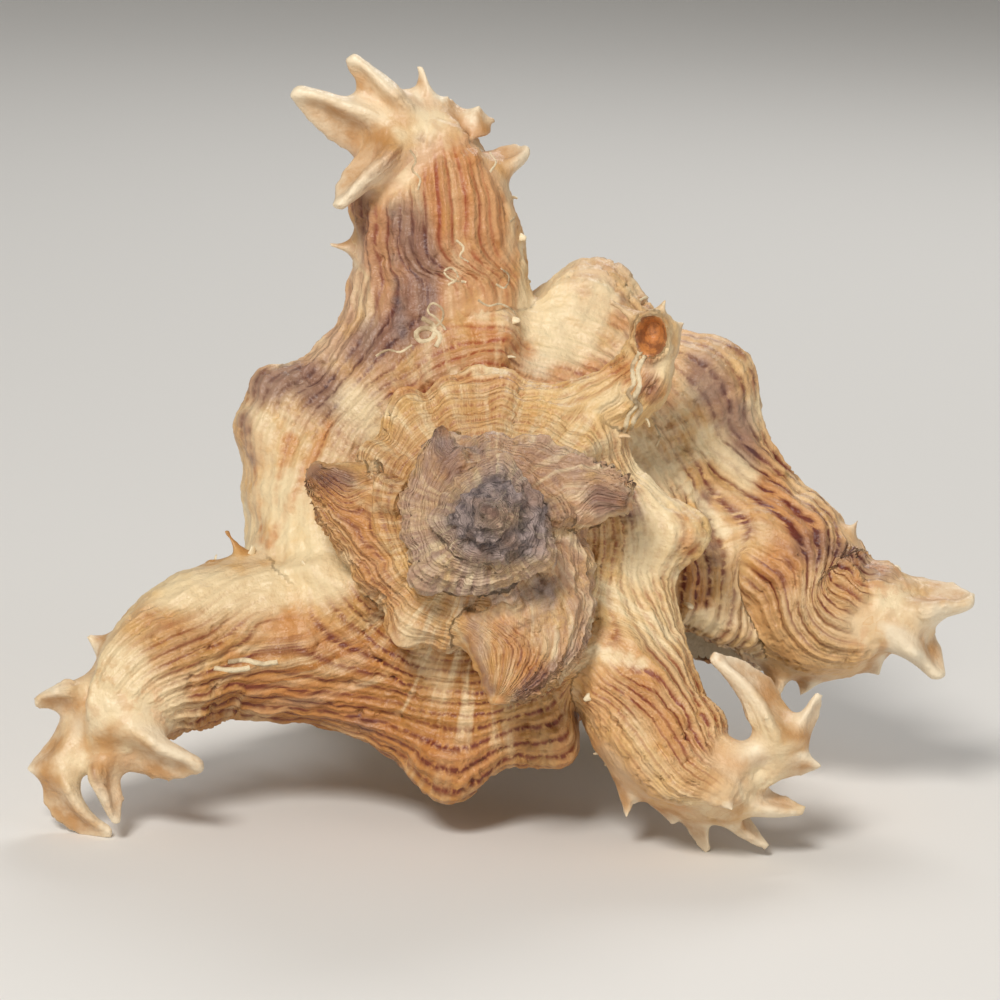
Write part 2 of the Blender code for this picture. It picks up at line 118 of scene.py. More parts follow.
# The whorls: a chalky tube wound on a logarithmic spiral, each turn laid onto the one before. Its back
# carries knobs, and at each pause in growth a thick rib, the varix.
WHORL_RATIO = 1.72
LIP_BEARING = 340.0
FIRST_GROWTH = -2340.0
GROWTH_STEPS = [(FIRST_GROWTH, 3.0), (-1200.0, 1.6), (-520.0, 0.62)]
OUTER_PROFILE = [
    (28.5, 54.5), (36.5, 58.0), (44.5, 62.5), (51.0, 67.5), (54.8, 73.5), (55.6, 82.0),
    (53.6, 92.0), (48.5, 102.5), (40.5, 112.5), (31.0, 121.5), (21.5, 129.0),
]
INNER_PROFILE = [(12.0, 134.0), (2.0, 132.0), (-1.5, 118.0), (-1.5, 84.0), (4.0, 60.0), (16.0, 53.0)]
SHOULDER_POINT = 4
PROFILE_STEPS = 165
SHOULDER_FINER = 1.4
SHOULDER_SPREAD = 14.0
SUTURE_FADE = 8.0
BASE_FADE = 10.0
VARICES = [0.0, -99.0, -207.0, -320.0, -414.0, -532.0, -652.0, -742.0, -846.0]
EARLY_VARIX_SPACING = 107.0
VARIX_HEIGHT = 5.0
SPIRE_VARIX = 1.7
VARIX_BACK_SLOPE = 20.0
VARIX_FRONT_SLOPE = 3.0
# growth angle, height in mm and half width in degrees
KNOBS = [
    (-55.0, 10.0, 12.0), (-85.0, 8.5, 12.0), (-161.0, 5.0, 6.0), (-172.0, 4.5, 6.0), (-194.0, -2.2, 11.0),
    (-283.0, 9.0, 11.0), (-312.0, 6.5, 13.0), (-357.0, 9.0, 8.0), (-382.0, 9.0, 10.0), (-470.0, 2.4, 7.0),
    (-500.0, 2.4, 7.0), (-592.0, -1.2, 9.0), (-616.0, 3.0, 7.0), (-695.0, 3.0, 10.0), (-795.0, 2.5, 10.0),
]
KNOB_ABOVE = 9.0
KNOB_BELOW = 17.0
# the whorl's upper edge climbs and falls where it was laid onto the knobs of the whorl before
SUTURE_WAVE = 3.0
SUTURE_WAVE_SPREAD = 6.0
# low folds that run across each whorl, strong on the spire and faint on the last turn
FOLD_HEIGHT = 1.5
LAST_FOLDS = 0.2


def smooth_step(share):
    share = np.clip(share, 0.0, 1.0)
    return share * share * (3.0 - 2.0 * share)


def smooth_path(points, steps, closed=False):
    """Catmull-Rom curve through the rows of points, with steps points between each two."""
    rows = np.array(points, float)
    if closed:
        rows = np.vstack([rows[-1], rows, rows[:2]])
    else:
        rows = np.vstack([2 * rows[0] - rows[1], rows, 2 * rows[-1] - rows[-2]])
    out = []
    for i in range(1, len(rows) - 2):
        a, b, c, d = rows[i - 1 : i + 3]
        for t in np.linspace(0.0, 1.0, steps, endpoint=False):
            bend = (2 * a - 5 * b + 4 * c - d) * t**2 + (3 * b - a - 3 * c + d) * t**3
            out.append(0.5 * (2 * b + (c - a) * t + bend))
    if not closed:
        out.append(rows[-2])
    return np.array(out)


def length_along(path):
    step = np.linalg.norm(np.diff(path[:, :3], axis=0), axis=1)
    return np.concatenate([[0.0], np.cumsum(step)])


def evenly(path, count):
    """The same curve with count evenly spaced points."""
    along = length_along(path)
    return np.column_stack([np.interp(np.linspace(0.0, along[-1], count), along, column) for column in path.T])


def rings_to_faces(rows, count, first=0):
    """The faces of a closed tube through rows of count points, with both ends filled."""
    here = (np.arange(rows - 1)[:, None] * count + np.arange(count)).ravel()
    beside = (np.arange(rows - 1)[:, None] * count + (np.arange(count) + 1) % count).ravel()
    faces = (np.column_stack([here, beside, beside + count, here + count]) + first).tolist()
    faces.append([first + i for i in range(count)][::-1])
    faces.append([first + (rows - 1) * count + i for i in range(count)])
    return faces


def growth_rows():
    """Growth angles of the whorl's sections, closer together where the arms are drawn out."""
    rows = []
    for (start, step), (end, _) in zip(GROWTH_STEPS, [*GROWTH_STEPS[1:], (0.0, 0.0)]):
        rows.append(np.arange(start, end, step))
    rows = np.concatenate([*rows, [0.0]])
    between = (rows[1:] + rows[:-1]) / 2
    fine = np.zeros(len(between), bool)
    for (middle, back, forward, _), _ in ARMS.values():
        fine |= (between > middle - 1.1 * back) & (between < middle + 1.1 * forward)
    return np.sort(np.concatenate([rows, between[fine]]))


def varix_swell(growth):
    """How far the varices lift the whorl, from 0 to 1: a long back slope and a steep front."""
    fronts = list(VARICES)
    while fronts[-1] > FIRST_GROWTH:
        fronts.append(fronts[-1] - EARLY_VARIX_SPACING)
    past = growth[:, None] - (np.array(fronts) - VARIX_FRONT_SLOPE)
    slope = np.where(past > 0, VARIX_FRONT_SLOPE, VARIX_BACK_SLOPE)
    return np.exp(-((past / slope) ** 2)).max(axis=1)


def whorl_surface():
    """The whorls' surface: arrays of points, and of what the relief and the colour follow."""
    outer = smooth_path(OUTER_PROFILE, 30)
    along = length_along(outer)
    corner = np.array(OUTER_PROFILE[SHOULDER_POINT])
    shoulder = along[np.argmin(np.linalg.norm(outer - corner, axis=1))]
    crowd = 1.0 + SHOULDER_FINER * np.exp(-(((along - shoulder) / SHOULDER_SPREAD) ** 2))
    crowded = np.concatenate([[0.0], np.cumsum((crowd[1:] + crowd[:-1]) / 2 * np.diff(along))])
    wanted = np.interp(np.linspace(0.0, crowded[-1], PROFILE_STEPS), crowded, along)
    outer = np.column_stack([np.interp(wanted, along, column) for column in outer.T])
    along = wanted
    inner = smooth_path([OUTER_PROFILE[-1], *INNER_PROFILE, OUTER_PROFILE[0]], 4)[1:-1]
    tangent = np.gradient(outer, axis=0)
    normal = np.column_stack([tangent[:, 1], -tangent[:, 0]])
    normal /= np.linalg.norm(normal, axis=1)[:, None]
    from_shoulder = along - shoulder
    knob_window = np.exp(-((from_shoulder / np.where(from_shoulder < 0, KNOB_ABOVE, KNOB_BELOW)) ** 2))
    edge = np.clip(along / SUTURE_FADE, 0.0, 1.0) * np.clip((along[-1] - along) / BASE_FADE, 0.0, 1.0)

    growth = growth_rows()
    scale = (WHORL_RATIO ** (growth / 360.0))[:, None]
    knobs = sum(high * np.exp(-(((growth - at) / wide) ** 2)) for at, high, wide in KNOBS)
    lift = knobs[:, None] * knob_window + VARIX_HEIGHT * scale * varix_swell(growth)[:, None] * edge
    wave = np.sin(np.radians(growth) * 9.0) + 0.6 * np.sin(np.radians(growth) * 23.0 + 1.0)
    climb = SUTURE_WAVE * wave[:, None] * scale * np.exp(-((along / SUTURE_WAVE_SPREAD) ** 2))
    spired = np.interp(growth, [-520.0, -440.0], [1.0, 0.0])[:, None]
    lift += VARIX_HEIGHT * SPIRE_VARIX * scale * (varix_swell(growth)[:, None] - 0.35) * edge * spired
    folds = np.sin(np.radians(growth) * 17.0) + 0.5 * np.sin(np.radians(growth) * 29.0 + 2.0)
    folds *= np.interp(growth, [-460.0, -360.0], [1.0, LAST_FOLDS])
    lift += FOLD_HEIGHT * scale * folds[:, None] * edge
    reach = outer[:, 0] * scale + normal[:, 0] * lift + climb * 0.2
    depth = outer[:, 1] * scale + normal[:, 1] * lift - climb
    reach = np.concatenate([reach, inner[:, 0] * scale], axis=1)
    depth = np.concatenate([depth, inner[:, 1] * scale], axis=1)
    around = from_shoulder * scale
    inner_line = np.repeat(around[:, -1:], len(inner), axis=1)
    line = np.concatenate([around, inner_line], axis=1)
    rows = np.broadcast_to(growth[:, None], line.shape)
    return {
        "points": polar(reach, LIP_BEARING - rows, depth),
        "line": line,
        "growth": rows.copy(),
        "out": np.zeros(line.shape),
        "front": np.zeros(line.shape),
        "tip": np.zeros(line.shape),
    }


# The arms: at each varix the mantle drew the shoulder out into one long hollow frond. The back of an arm
# is ribbed lengthwise by the whorl's own cords, and its front is the open, smooth side.
# For each: growth angle of the foot's middle, degrees that it reaches back and forward, half its height.
# Then points of its middle: reach, bearing, depth, half its thickness from back to front, half its width
# radians that the cords wind towards the front on their way out along an arm
CORDS_WIND = {"lip": 1.3, "upper": 0.1, "left": 0.2, "right": 0.1}
ARMS = {
    "lip": ((-18, 23, 13, 15), [
        (51, 2, 72, 14, 16), (57, 355, 71, 14.5, 15), (64, 349.5, 68, 14, 13), (71, 350.5, 65, 12.5, 11),
        (75, 352, 63, 9.5, 8.5),
    ]),
    "upper": ((-115, 32, 20, 15), [
        (42, 97, 62, 16, 15), (50, 95.5, 61, 16, 14.5), (58, 95, 58, 16, 13.5), (66, 95.5, 55, 15.5, 12),
        (72, 96, 52, 12.5, 9),
    ]),
    "left": ((-224, 38, 16, 14), [
        (36, 206, 53, 14, 14), (43, 201, 52, 14, 13), (50, 199.5, 50, 13.5, 12.5), (61, 201.5, 46, 12.5, 11),
        (70, 205.5, 43, 9.5, 8.5),
    ]),
    "right": ((-332, 30, 14, 12), [
        (31, 321, 42, 10.5, 12), (37, 316, 42, 10.5, 12), (44, 311.5, 41, 11, 12), (53, 311, 39, 10.5, 10),
        (60, 313, 36, 8, 7),
    ]),
    "older": ((-425, 14, 9, 7), [
        (31, 47, 39, 5.5, 6.5), (36, 43, 38, 5.5, 6), (41, 44.5, 35, 5.2, 5.2), (46, 50, 30, 4.2, 3.8),
    ]),
    "spire_left": ((-547, 32, 14, 9), [
        (20, 167, 33, 9.0, 6.5), (25, 163, 31.4, 5.4, 4.0), (30, 160, 29.5, 2.4, 1.6),
    ]),
    "spire_low": ((-667, 60, 24, 9), [
        (15.5, 290, 28, 14.5, 6), (20, 284, 26.6, 11.5, 4.6), (25, 278.5, 24.8, 6.8, 2.8), (29, 274, 23, 1.9, 1.4),
    ]),
    "spire_right": ((-759, 32, 20, 6), [
        (15, 21, 22.5, 7.0, 4.2), (19.5, 14.5, 22, 5.2, 3.0), (24.6, 9, 20.4, 2.4, 1.5),
    ]),
    "spire_top": ((-858, 30, 18, 4.5), [
        (13, 122, 18, 4.2, 3.2), (15.3, 117, 17, 2.8, 2.2), (17.2, 113, 16.2, 1.2, 1),
    ]),
}
ARM_EDGE = 1.30
ARM_FULL = 0.80
ARM_CAP = 0.24
ARM_DOME = 0.6
ARM_GROOVE = 0.34
ARM_END_OPEN = 0.55
GROOVE_WIDTH = 0.75
LINES_TURN = 0.6
FRONT_START = 1.75
FRONT_BLEND = 0.7
FOOT_EDGE = 0.12
UP = np.array([0.0, 0.0, 1.0])


def draw_out_arm(whorl, foot, points, wind):
    """Draws an arm out of the whorl and carries the whorl's lines out along it, winding towards its front."""
    middle, back, forward, high = foot
    from_middle = whorl["growth"] - middle
    u = from_middle / np.where(from_middle < 0, back, forward)
    v = whorl["line"] / high
    near = np.maximum(np.hypot(u, v), 1e-6)
    inside = near < ARM_EDGE
    u, v, near = u[inside] / near[inside], v[inside] / near[inside], near[inside]
    share = np.clip((1.0 - near) / (1.0 - ARM_CAP), 0.0, 1.0)

    rows = evenly(smooth_path([[*polar(*p[:3]), p[3], p[4]] for p in points], 8), 40)
    out = np.gradient(rows[:, :3], axis=0)
    out /= np.linalg.norm(out, axis=1)[:, None]
    front = np.cross(out, UP)
    front /= np.linalg.norm(front, axis=1)[:, None]
    rows = np.column_stack([rows, out, front, np.cross(out, front)])
    at = [np.interp(share, np.linspace(0.0, 1.0, len(rows)), column) for column in rows.T]
    middle_line, thick, wide = np.column_stack(at[:3]), at[3], at[4]
    out, front, side = np.column_stack(at[5:8]), np.column_stack(at[8:11]), np.column_stack(at[11:14])
    groove = ARM_GROOVE * share + ARM_END_OPEN * share**5 * (high > 10)
    open_front = 1.0 - groove * np.exp(-((np.arctan2(v, u) / GROOVE_WIDTH) ** 2))
    cap = np.clip(near / ARM_CAP, 0.0, 1.0) * math.pi / 2
    drawn = (
        middle_line
        + front * (thick * open_front * u * np.sin(cap))[:, None]
        + side * (wide * v * np.sin(cap))[:, None]
        + out * (np.cos(cap) * wide * ARM_DOME)[:, None]
    )
    blend = smooth_step((ARM_EDGE - near) / (ARM_EDGE - ARM_FULL))[:, None]
    whorl["points"][inside] += (drawn - whorl["points"][inside]) * blend

    from_back = np.arctan2(v, -u)
    turned = smooth_step((1.0 - near) / (1.0 - LINES_TURN))
    around = np.abs(from_back)
    incoming = near * np.sin(np.minimum(around, math.pi / 2)) + np.maximum(around - math.pi / 2, 0.0)
    lengthwise = high * ((1.0 - turned) * incoming + turned * (around - wind * share))
    whorl["line"][inside] = np.where(near < 1.0, lengthwise, whorl["line"][inside])
    whorl["out"][inside] = np.maximum(whorl["out"][inside], share)
    facing = smooth_step((around - FRONT_START) / FRONT_BLEND)
    edge = np.exp(-(((near - 1.0) / FOOT_EDGE) ** 2)) * smooth_step((around - 1.3) / 0.5)
    whorl["front"][inside] = np.maximum(whorl["front"][inside], np.maximum(facing * turned, edge))


forms = []
whorl = whorl_surface()
for name, (foot, points) in ARMS.items():
    draw_out_arm(whorl, foot, points, CORDS_WIND.get(name, 0.0))
# the cords are counted alike to both sides, and are closer together on the small early whorls
whorl["line"] = np.abs(whorl["line"]) / WHORL_RATIO ** (whorl["growth"] / 720.0)
forms.append({**whorl, "kind": 0.0})


# The branches: an arm's end divides into curved fingers of white porcelain, each a leaf folded lengthwise
# into a gutter that is open on the outer side of its bend, painted tan inside as shade, with a crimped rim.
# For each: root (reach, bearing, depth), heading and curl (degrees, seen from the apex), length, half the
# breadth at the root, and rise towards the apex
BRANCHES = [
    # upper arm
    ((70, 100, 51), 160, -10, 22, 6.0, 5), ((72, 99, 49), 134, -8, 17, 5.0, 5),
    ((74, 96, 50), 108, -10, 10, 3.0, 3), ((71, 101, 47), 215, 30, 17, 5.2, 4),
    ((73, 93, 51), 98, 0, 6.5, 3.2, 2), ((71, 89, 51), 98, 0, 6.5, 3.2, 2), ((66.5, 87.5, 53), 30, -10, 7.5, 4.4, 1),
    ((74.5, 96.5, 51), 100, 0, 5, 3.0, 2), ((56.5, 110.5, 58), 178, 0, 6, 2.3, 1),
    # left arm
    ((70, 207, 41), 308, 55, 18.5, 6.0, 3), ((74, 210.5, 42), 290, -12, 12, 3.8, 0),
    ((81, 208.5, 45), 262, 95, 17, 4.4, -1), ((77, 207, 45), 205, 10, 10, 4.2, -1),
    ((68, 202, 46), 222, 30, 17, 5.4, -1),
    ((72, 202.5, 44), 188, -8, 9, 4.2, 0), ((64, 198.5, 45), 145, 0, 7, 3.6, 2),
    ((39.5, 184, 49), 128, 0, 6, 1.9, 1), ((42, 187.5, 48.5), 150, 0, 5, 1.6, 1),
    # right arm
    ((57, 314, 37), 8, 30, 16, 6.2, 0), ((63, 325, 36), 100, 60, 21, 5.2, 5),
    ((64, 327, 36), 55, 20, 9, 3.2, 3), ((63, 322, 37), 350, 20, 9, 3.6, 0),
    ((59, 313, 40), 352, -8, 16, 4.6, -1), ((57, 311, 42), 332, -20, 16, 4.0, -3),
    ((56, 309, 44), 292, 5, 11, 3.6, -4), ((54, 311, 35), 322, -6, 10, 2.6, 4),
    ((46, 301, 38), 84, 0, 9, 2.2, 5), ((52, 305, 43), 300, 0, 8, 3.0, -3),
    ((47, 302, 42), 275, 0, 8, 3.0, -2),
    # lip arm
    ((75, 352.5, 62), 20, -35, 14, 6.6, 4), ((74, 351, 63), 340, -60, 15, 6.4, 0),
    ((68, 351, 63), 355, -70, 15, 6.2, 6), ((70, 348, 67), 300, 0, 9, 3.8, -3),
    ((64, 344.5, 70), 250, 0, 9, 3.6, -4), ((58, 341, 72), 262, 0, 8, 3.4, -4),
    ((67, 1, 66), 70, 0, 6, 1.8, 1),
    # older arm
    ((44.5, 52.5, 31), 118, 60, 7, 2.2, 3), ((45, 49, 31), 84, -20, 6.5, 2.0, 3), ((45, 44.5, 33), 60, 0, 6, 1.6, 1),
]
# webs of porcelain between the fingers: middle, heading of the long side, half its length, width and thickness
WEB_PLATES = [
    ((77, 104, 50), 145, 5.5, 3.2, 2.2), ((77.5, 99, 50), 120, 4, 3, 2.0), ((74, 92, 52), 5, 7, 2.6, 2.4),
    ((61.3, 324.5, 37), 82, 8.5, 3.0, 2.4), ((61, 317, 40), 60, 7, 4.0, 3.0), ((70, 210.5, 43), 340, 6, 3.8, 2.6),
    ((75, 207, 45), 75, 8, 3.4, 2.6), ((80.5, 210, 45), 100, 4, 3.0, 2.0), ((77, 352, 63), 10, 7.5, 6.0, 3.0),
    ((44.3, 47.5, 32), 80, 5.6, 4.4, 3.4),
]
# branches nearer the axis than this stand on the whorl before the last
OLDER_REACH = 45.5
FROND_STEPS = 26
FROND_SIDES = 44
TIP_BREADTH = 1.15
TAPER_POWER = 1.9
TIP_SHARE = 0.27
FROND_THINNER = 0.85
FROND_GUTTER = 1.12
GUTTER_WIDTH = 0.85
GUTTER_UP = 0.6
RIM_FLARE = 0.22
RIM_PLACE = 1.35
RIM_WIDTH = 0.35
RIM_CRIMPS = 2.6


def tapered(breadth, count, sharp=TIP_SHARE):
    """Half sizes of a horn that keeps its breadth at first and then narrows to a blunt point."""
    t = np.linspace(0.0, 1.0, count)
    return np.maximum(TIP_BREADTH, breadth * (sharp + (1 - sharp) * (1 - t**TAPER_POWER)))


def oval_form(centres, halves, fronts, gutter, kind, growth, sides=FROND_SIDES):
    """Oval sections along a frond or the canal. halves are its half thickness and half width, fronts the
    way to its front at each point, and gutter the share of the thickness that its front is cut in."""
    along = np.gradient(centres, axis=0)
    along /= np.linalg.norm(along, axis=1)[:, None]
    front = fronts - along * np.sum(fronts * along, axis=1)[:, None]
    front /= np.linalg.norm(front, axis=1)[:, None]
    across = np.cross(along, front)
    turn = np.linspace(-math.pi, math.pi, sides, endpoint=False)
    out = np.linspace(0.0, 1.0, len(centres))[:, None]
    share = smooth_step(out / 0.4) * smooth_step((1.0 - out) / 0.2)
    crimp = 1.0 + 0.6 * np.sin(length_along(centres) * RIM_CRIMPS)[:, None]
    rim = RIM_FLARE * np.exp(-(((np.abs(turn) - RIM_PLACE) / RIM_WIDTH) ** 2)) * crimp * share * (gutter > 0.5)
    cut = 1.0 + rim - gutter * np.exp(-((turn / GUTTER_WIDTH) ** 2)) * share
    points = (
        centres[:, None]
        + front[:, None] * (halves[:, 0, None] * np.cos(turn) * cut)[..., None]
        + across[:, None] * (halves[:, 1, None] * np.sin(turn) * (1.0 + rim))[..., None]
    )
    shape = points.shape[:2]
    from_back = np.where(turn > 0, math.pi - turn, -math.pi - turn)
    return {
        "points": points,
        "line": np.broadcast_to(from_back * halves.max(), shape),
        "growth": np.full(shape, growth),
        "out": np.broadcast_to(out, shape),
        "front": np.broadcast_to(smooth_step((RIM_PLACE - np.abs(turn)) / 0.5) * (gutter > 0.5), shape),
        "tip": np.broadcast_to(out, shape),
        "kind": kind,
    }


def growth_at(root):
    """Growth angle of the whorl's shoulder at this root."""
    return (LIP_BEARING - root[1]) % 360.0 - (720.0 if root[0] < OLDER_REACH else 360.0)


def branch_form(root, heading, curl, length, breadth, rise):
    """A branch that starts at root and turns by curl over its length."""
    count = FROND_STEPS
    turn = np.radians(heading + curl * (np.arange(count - 1) + 0.5) / (count - 1))
    steps = np.column_stack([np.cos(turn) * length, np.sin(turn) * length, np.full(count - 1, rise)])
    centres = polar(*root) + np.vstack([np.zeros(3), np.cumsum(steps / (count - 1), axis=0)])
    size = tapered(breadth, count)
    halves = np.column_stack([size * FROND_THINNER, size])
    way = np.radians(heading + curl * np.linspace(0.0, 1.0, count))
    outer_side = math.copysign(1.0, curl)
    fronts = np.column_stack([outer_side * np.sin(way), -outer_side * np.cos(way), np.full(count, GUTTER_UP)])
    return oval_form(centres, halves, fronts, FROND_GUTTER, 1.0, growth_at(root))


def plate_form(middle, heading, long, wide, thick):
    """A thick oval plate that joins the roots of the fingers."""
    t = np.linspace(-1.0, 1.0, 17)
    centres = polar(*middle) + polar(1.0, heading, 0.0) * (long * t)[:, None]
    size = np.sqrt(np.maximum(1.0 - t**2, 0.01))
    halves = np.column_stack([size * thick, size * wide])
    plate = oval_form(centres, halves, np.tile(UP, (17, 1)), 0.0, 1.0, growth_at(middle), 28)
    return {**plate, "tip": np.full(plate["line"].shape, 0.2), "out": np.ones(plate["line"].shape)}


forms += [branch_form(*branch) for branch in BRANCHES]
forms += [plate_form(*plate) for plate in WEB_PLATES]


# The lower fronds: down each of the last three varices stands a row of shorter leaves, long and short in
# turn, bent back against the growth, their open fronts towards the next whorl.
# For each: share of the way from shoulder to base, length in mm at the lip, droop towards the canal in
# degrees, and how far it bends back, as a share of its length
LOWER_FRONDS = [
    (0.17, 21.0, 4.0, 0.95), (0.33, 17.0, 10.0, 0.35), (0.48, 22.0, 18.0, 0.60), (0.64, 16.0, 28.0, 0.40),
    (0.79, 20.0, 38.0, 0.50), (0.95, 15.0, 48.0, 0.40),
]
FRONDED_VARICES = [0.0, -99.0, -207.0]
FROND_BREADTH = 5.6
FROND_ROOT = 3.0
FROND_BEHIND = 5.0


def growth_way(points):
    """The way the shell grows at these points: clockwise about the axis, seen from the apex."""
    bearing = np.arctan2(points[..., 1], points[..., 0])
    return np.stack([np.sin(bearing), -np.cos(bearing), np.zeros_like(bearing)], axis=-1)


def lower_frond_form(front, share, length, droop, bend):
    scale = WHORL_RATIO ** (front / 360.0)
    profile = evenly(smooth_path(OUTER_PROFILE[SHOULDER_POINT:], 12), 40)
    reach, depth = profile[int(share * 39)] * scale
    bearing = LIP_BEARING - front + FROND_BEHIND
    base = polar(reach - FROND_ROOT, bearing, depth)
    outward = polar(1.0, bearing, 0.0) * math.cos(math.radians(droop)) - UP * math.sin(math.radians(droop))
    t = np.linspace(0.0, 1.0, FROND_STEPS)[:, None]
    length = length * scale
    centres = base + outward * (length + FROND_ROOT) * t - growth_way(base) * bend * length * t**2
    size = tapered(FROND_BREADTH * scale, FROND_STEPS)
    halves = np.column_stack([size * FROND_THINNER, size])
    return oval_form(centres, halves, growth_way(centres), FROND_GUTTER, 2.0, front - FROND_BEHIND)


for varix in FRONDED_VARICES:
    forms += [lower_frond_form(varix, *frond) for frond in LOWER_FRONDS]


# The siphonal canal: a long, slightly bent spout below the aperture, with small fronds down its right
# side, and beside it the stumps of two earlier canals.
# Points of its middle: across, up, depth, half its width and half its thickness
CANAL = [
    (2, 2, 84, 9, 9), (3, 1, 98, 15.5, 14), (3, 0, 112, 16.5, 14.5), (4, -1, 126, 14.5, 13),
    (5, -3, 140, 11.5, 10.5), (5, -4, 156, 9.0, 8.5), (6, -3.5, 172, 7.4, 6.8), (8, -1, 186, 5.8, 5.0),
    (11, 4, 197, 3.8, 3.2),
]
# share of the canal's length, bearing and length
CANAL_FRONDS = [
    (0.54, 10.0, 13.0), (0.66, 5.0, 12.0), (0.80, 12.0, 10.0), (0.60, 95.0, 10.0), (0.74, 88.0, 8.0),
]
CANAL_FROND_BEND = np.array([0.0, 0.2, -0.5])
CANAL_FROND_BREADTH = 2.8
# root and tip, and half their breadth
OLD_CANALS = [((8, 6, 128), (-8, 16, 163), 6.0), ((-4, -4, 118), (-24, -6, 140), 5.5)]
OLD_CANAL_BOW = np.array([0.0, 4.0, 0.0])
APERTURE_SIDE = np.array([0.0, -1.0, 0.0])


def tube_form(points, kind, growth):
    """A plain tube through rows of x, y, z, half thickness and half width, its front to the aperture."""
    rows = smooth_path(points, 16)
    return oval_form(rows[:, :3], rows[:, 3:], np.tile(APERTURE_SIDE, (len(rows), 1)), 0.0, kind, growth, 72)


def canal_frond_form(share, bearing, length):
    rows = smooth_path(CANAL, 16)
    x, y, depth, wide, _ = rows[int(share * (len(rows) - 1))]
    t = np.linspace(0.0, 1.0, FROND_STEPS)[:, None]
    outward = polar(1.0, bearing, 0.0) * (wide * 0.5 + length * t)
    centres = np.array([x, y, -depth]) + outward + CANAL_FROND_BEND * length * t**1.5
    size = tapered(CANAL_FROND_BREADTH, FROND_STEPS)
    fronts = np.tile(APERTURE_SIDE, (FROND_STEPS, 1))
    return oval_form(centres, np.column_stack([size, size]), fronts, FROND_GUTTER, 2.0, -5.0)


def old_canal_form(root, tip, breadth):
    start, end = (np.array([x, y, -depth]) for x, y, depth in (root, tip))
    t = np.linspace(0.0, 1.0, FROND_STEPS)[:, None]
    centres = start + (end - start) * t + OLD_CANAL_BOW * np.sin(t * math.pi)
    size = tapered(breadth, FROND_STEPS, 0.4)
    fronts = np.tile(APERTURE_SIDE, (FROND_STEPS, 1))
    halves = np.column_stack([size * FROND_THINNER, size])
    return oval_form(centres, halves, fronts, FROND_GUTTER, 2.0, -104.0)


forms.append(tube_form([(x, y, -depth, thick, wide) for x, y, depth, wide, thick in CANAL], 3.0, -10.0))
forms += [canal_frond_form(*frond) for frond in CANAL_FRONDS]
forms += [old_canal_form(*canal) for canal in OLD_CANALS]


# The living chamber and the canal's slit: the tube's hollow, lined with white porcelain, opens at the
# lip and runs on down the canal as a narrow slit.
HOLLOW_PROFILE = [
    (35.0, 63.5), (43.5, 68.0), (50.5, 73.5), (53.2, 82.0), (51.5, 91.0), (46.0, 101.0),
    (37.5, 110.5), (28.0, 118.0), (19.5, 120.0), (15.5, 112.0), (17.5, 99.0), (21.5, 86.0), (27.0, 73.0),
]
HOLLOW_DEPTH = -230.0
HOLLOW_MOUTH = 16.0
HOLLOW_STEP = 2.0
HOLLOW_CLOSING = 40.0
HOLLOW_END = 0.25
HOLLOW_FLARE = 0.06
FLARE_START = 6.0
# growth angle at which the chamber is narrowest inside, half width in degrees and share that it narrows by
HOLLOW_WAIST = (-196.0, 24.0, 0.3)
# points of the slit's middle and half its width; it is this much deeper than wide
SLIT = [
    (16, -5, 108, 5.0), (11.5, -8, 124, 3.8), (8, -10.5, 142, 2.6), (7, -11, 160, 2.2), (8, -9.5, 178, 1.9),
    (12, -2, 203, 1.8),
]
SLIT_DEEPER = 1.9


def chamber_form():
    section = smooth_path(HOLLOW_PROFILE, 6, closed=True)
    middle = section.mean(axis=0)
    growth = np.arange(HOLLOW_DEPTH, HOLLOW_MOUTH + 1.0, HOLLOW_STEP)
    rings = []
    for turn in growth:
        waist, wide, less = HOLLOW_WAIST
        narrow = min(1.0, HOLLOW_END + (turn - HOLLOW_DEPTH) / HOLLOW_CLOSING)
        narrow *= 1.0 - less * math.exp(-(((turn - waist) / wide) ** 2))
        flare = 1.0 + HOLLOW_FLARE * max(0.0, turn / FLARE_START + 1.0) / 2.0
        loop = (middle + (section - middle) * narrow * flare) * WHORL_RATIO ** (min(turn, 0.0) / 360.0)
        rings.append(polar(loop[:, 0], LIP_BEARING - turn, loop[:, 1]))
    points = np.array(rings)
    flat = np.zeros(points.shape[:2])
    rows = np.broadcast_to(growth[:, None], flat.shape)
    return {"points": points, "line": flat, "growth": rows, "out": flat, "front": flat, "tip": flat, "kind": 4.0}


chamber = chamber_form()
slit = tube_form([(x, y, -depth, half * SLIT_DEEPER, half) for x, y, depth, half in SLIT], 4.0, 0.0)


# The skin: all these forms grown together into one wall, with the hollow cut out of it. Each point of
# the skin keeps the line, growth and place out along its arm of the form that it came from.
SKIN_VOXEL = 0.55
CARRIED = ["line", "growth", "out", "front", "tip", "kind", "part"]


def form_object(name, pieces, laid=True):
    """One object from several forms, which keeps what they carry as attributes of its points. laid is
    false for one that stays upright at the origin."""
    points, faces, first = [], [], 0
    carried = {key: [] for key in CARRIED}
    for number, piece in enumerate(pieces):
        piece = {**piece, "part": float(number)}
        rows, count = piece["points"].shape[:2]
        points.append(piece["points"].reshape(-1, 3))
        faces += rings_to_faces(rows, count, first)
        first += rows * count
        for key in CARRIED:
            carried[key].append(np.broadcast_to(piece[key], (rows, count)).ravel())
    data = bpy.data.meshes.new(name)
    points = np.concatenate(points)
    data.from_pydata((set_down(points) if laid else points * MM).tolist(), [], faces)
    for key, values in carried.items():
        layer = data.attributes.new(key, "FLOAT", "POINT")
        layer.data.foreach_set("value", np.concatenate(values).astype(np.float32))
    mesh = bmesh.new()
    mesh.from_mesh(data)
    bmesh.ops.recalc_face_normals(mesh, faces=mesh.faces)
    mesh.to_mesh(data)
    mesh.free()
    made = bpy.data.objects.new(name, data)
    bpy.context.scene.collection.objects.link(made)
    return made


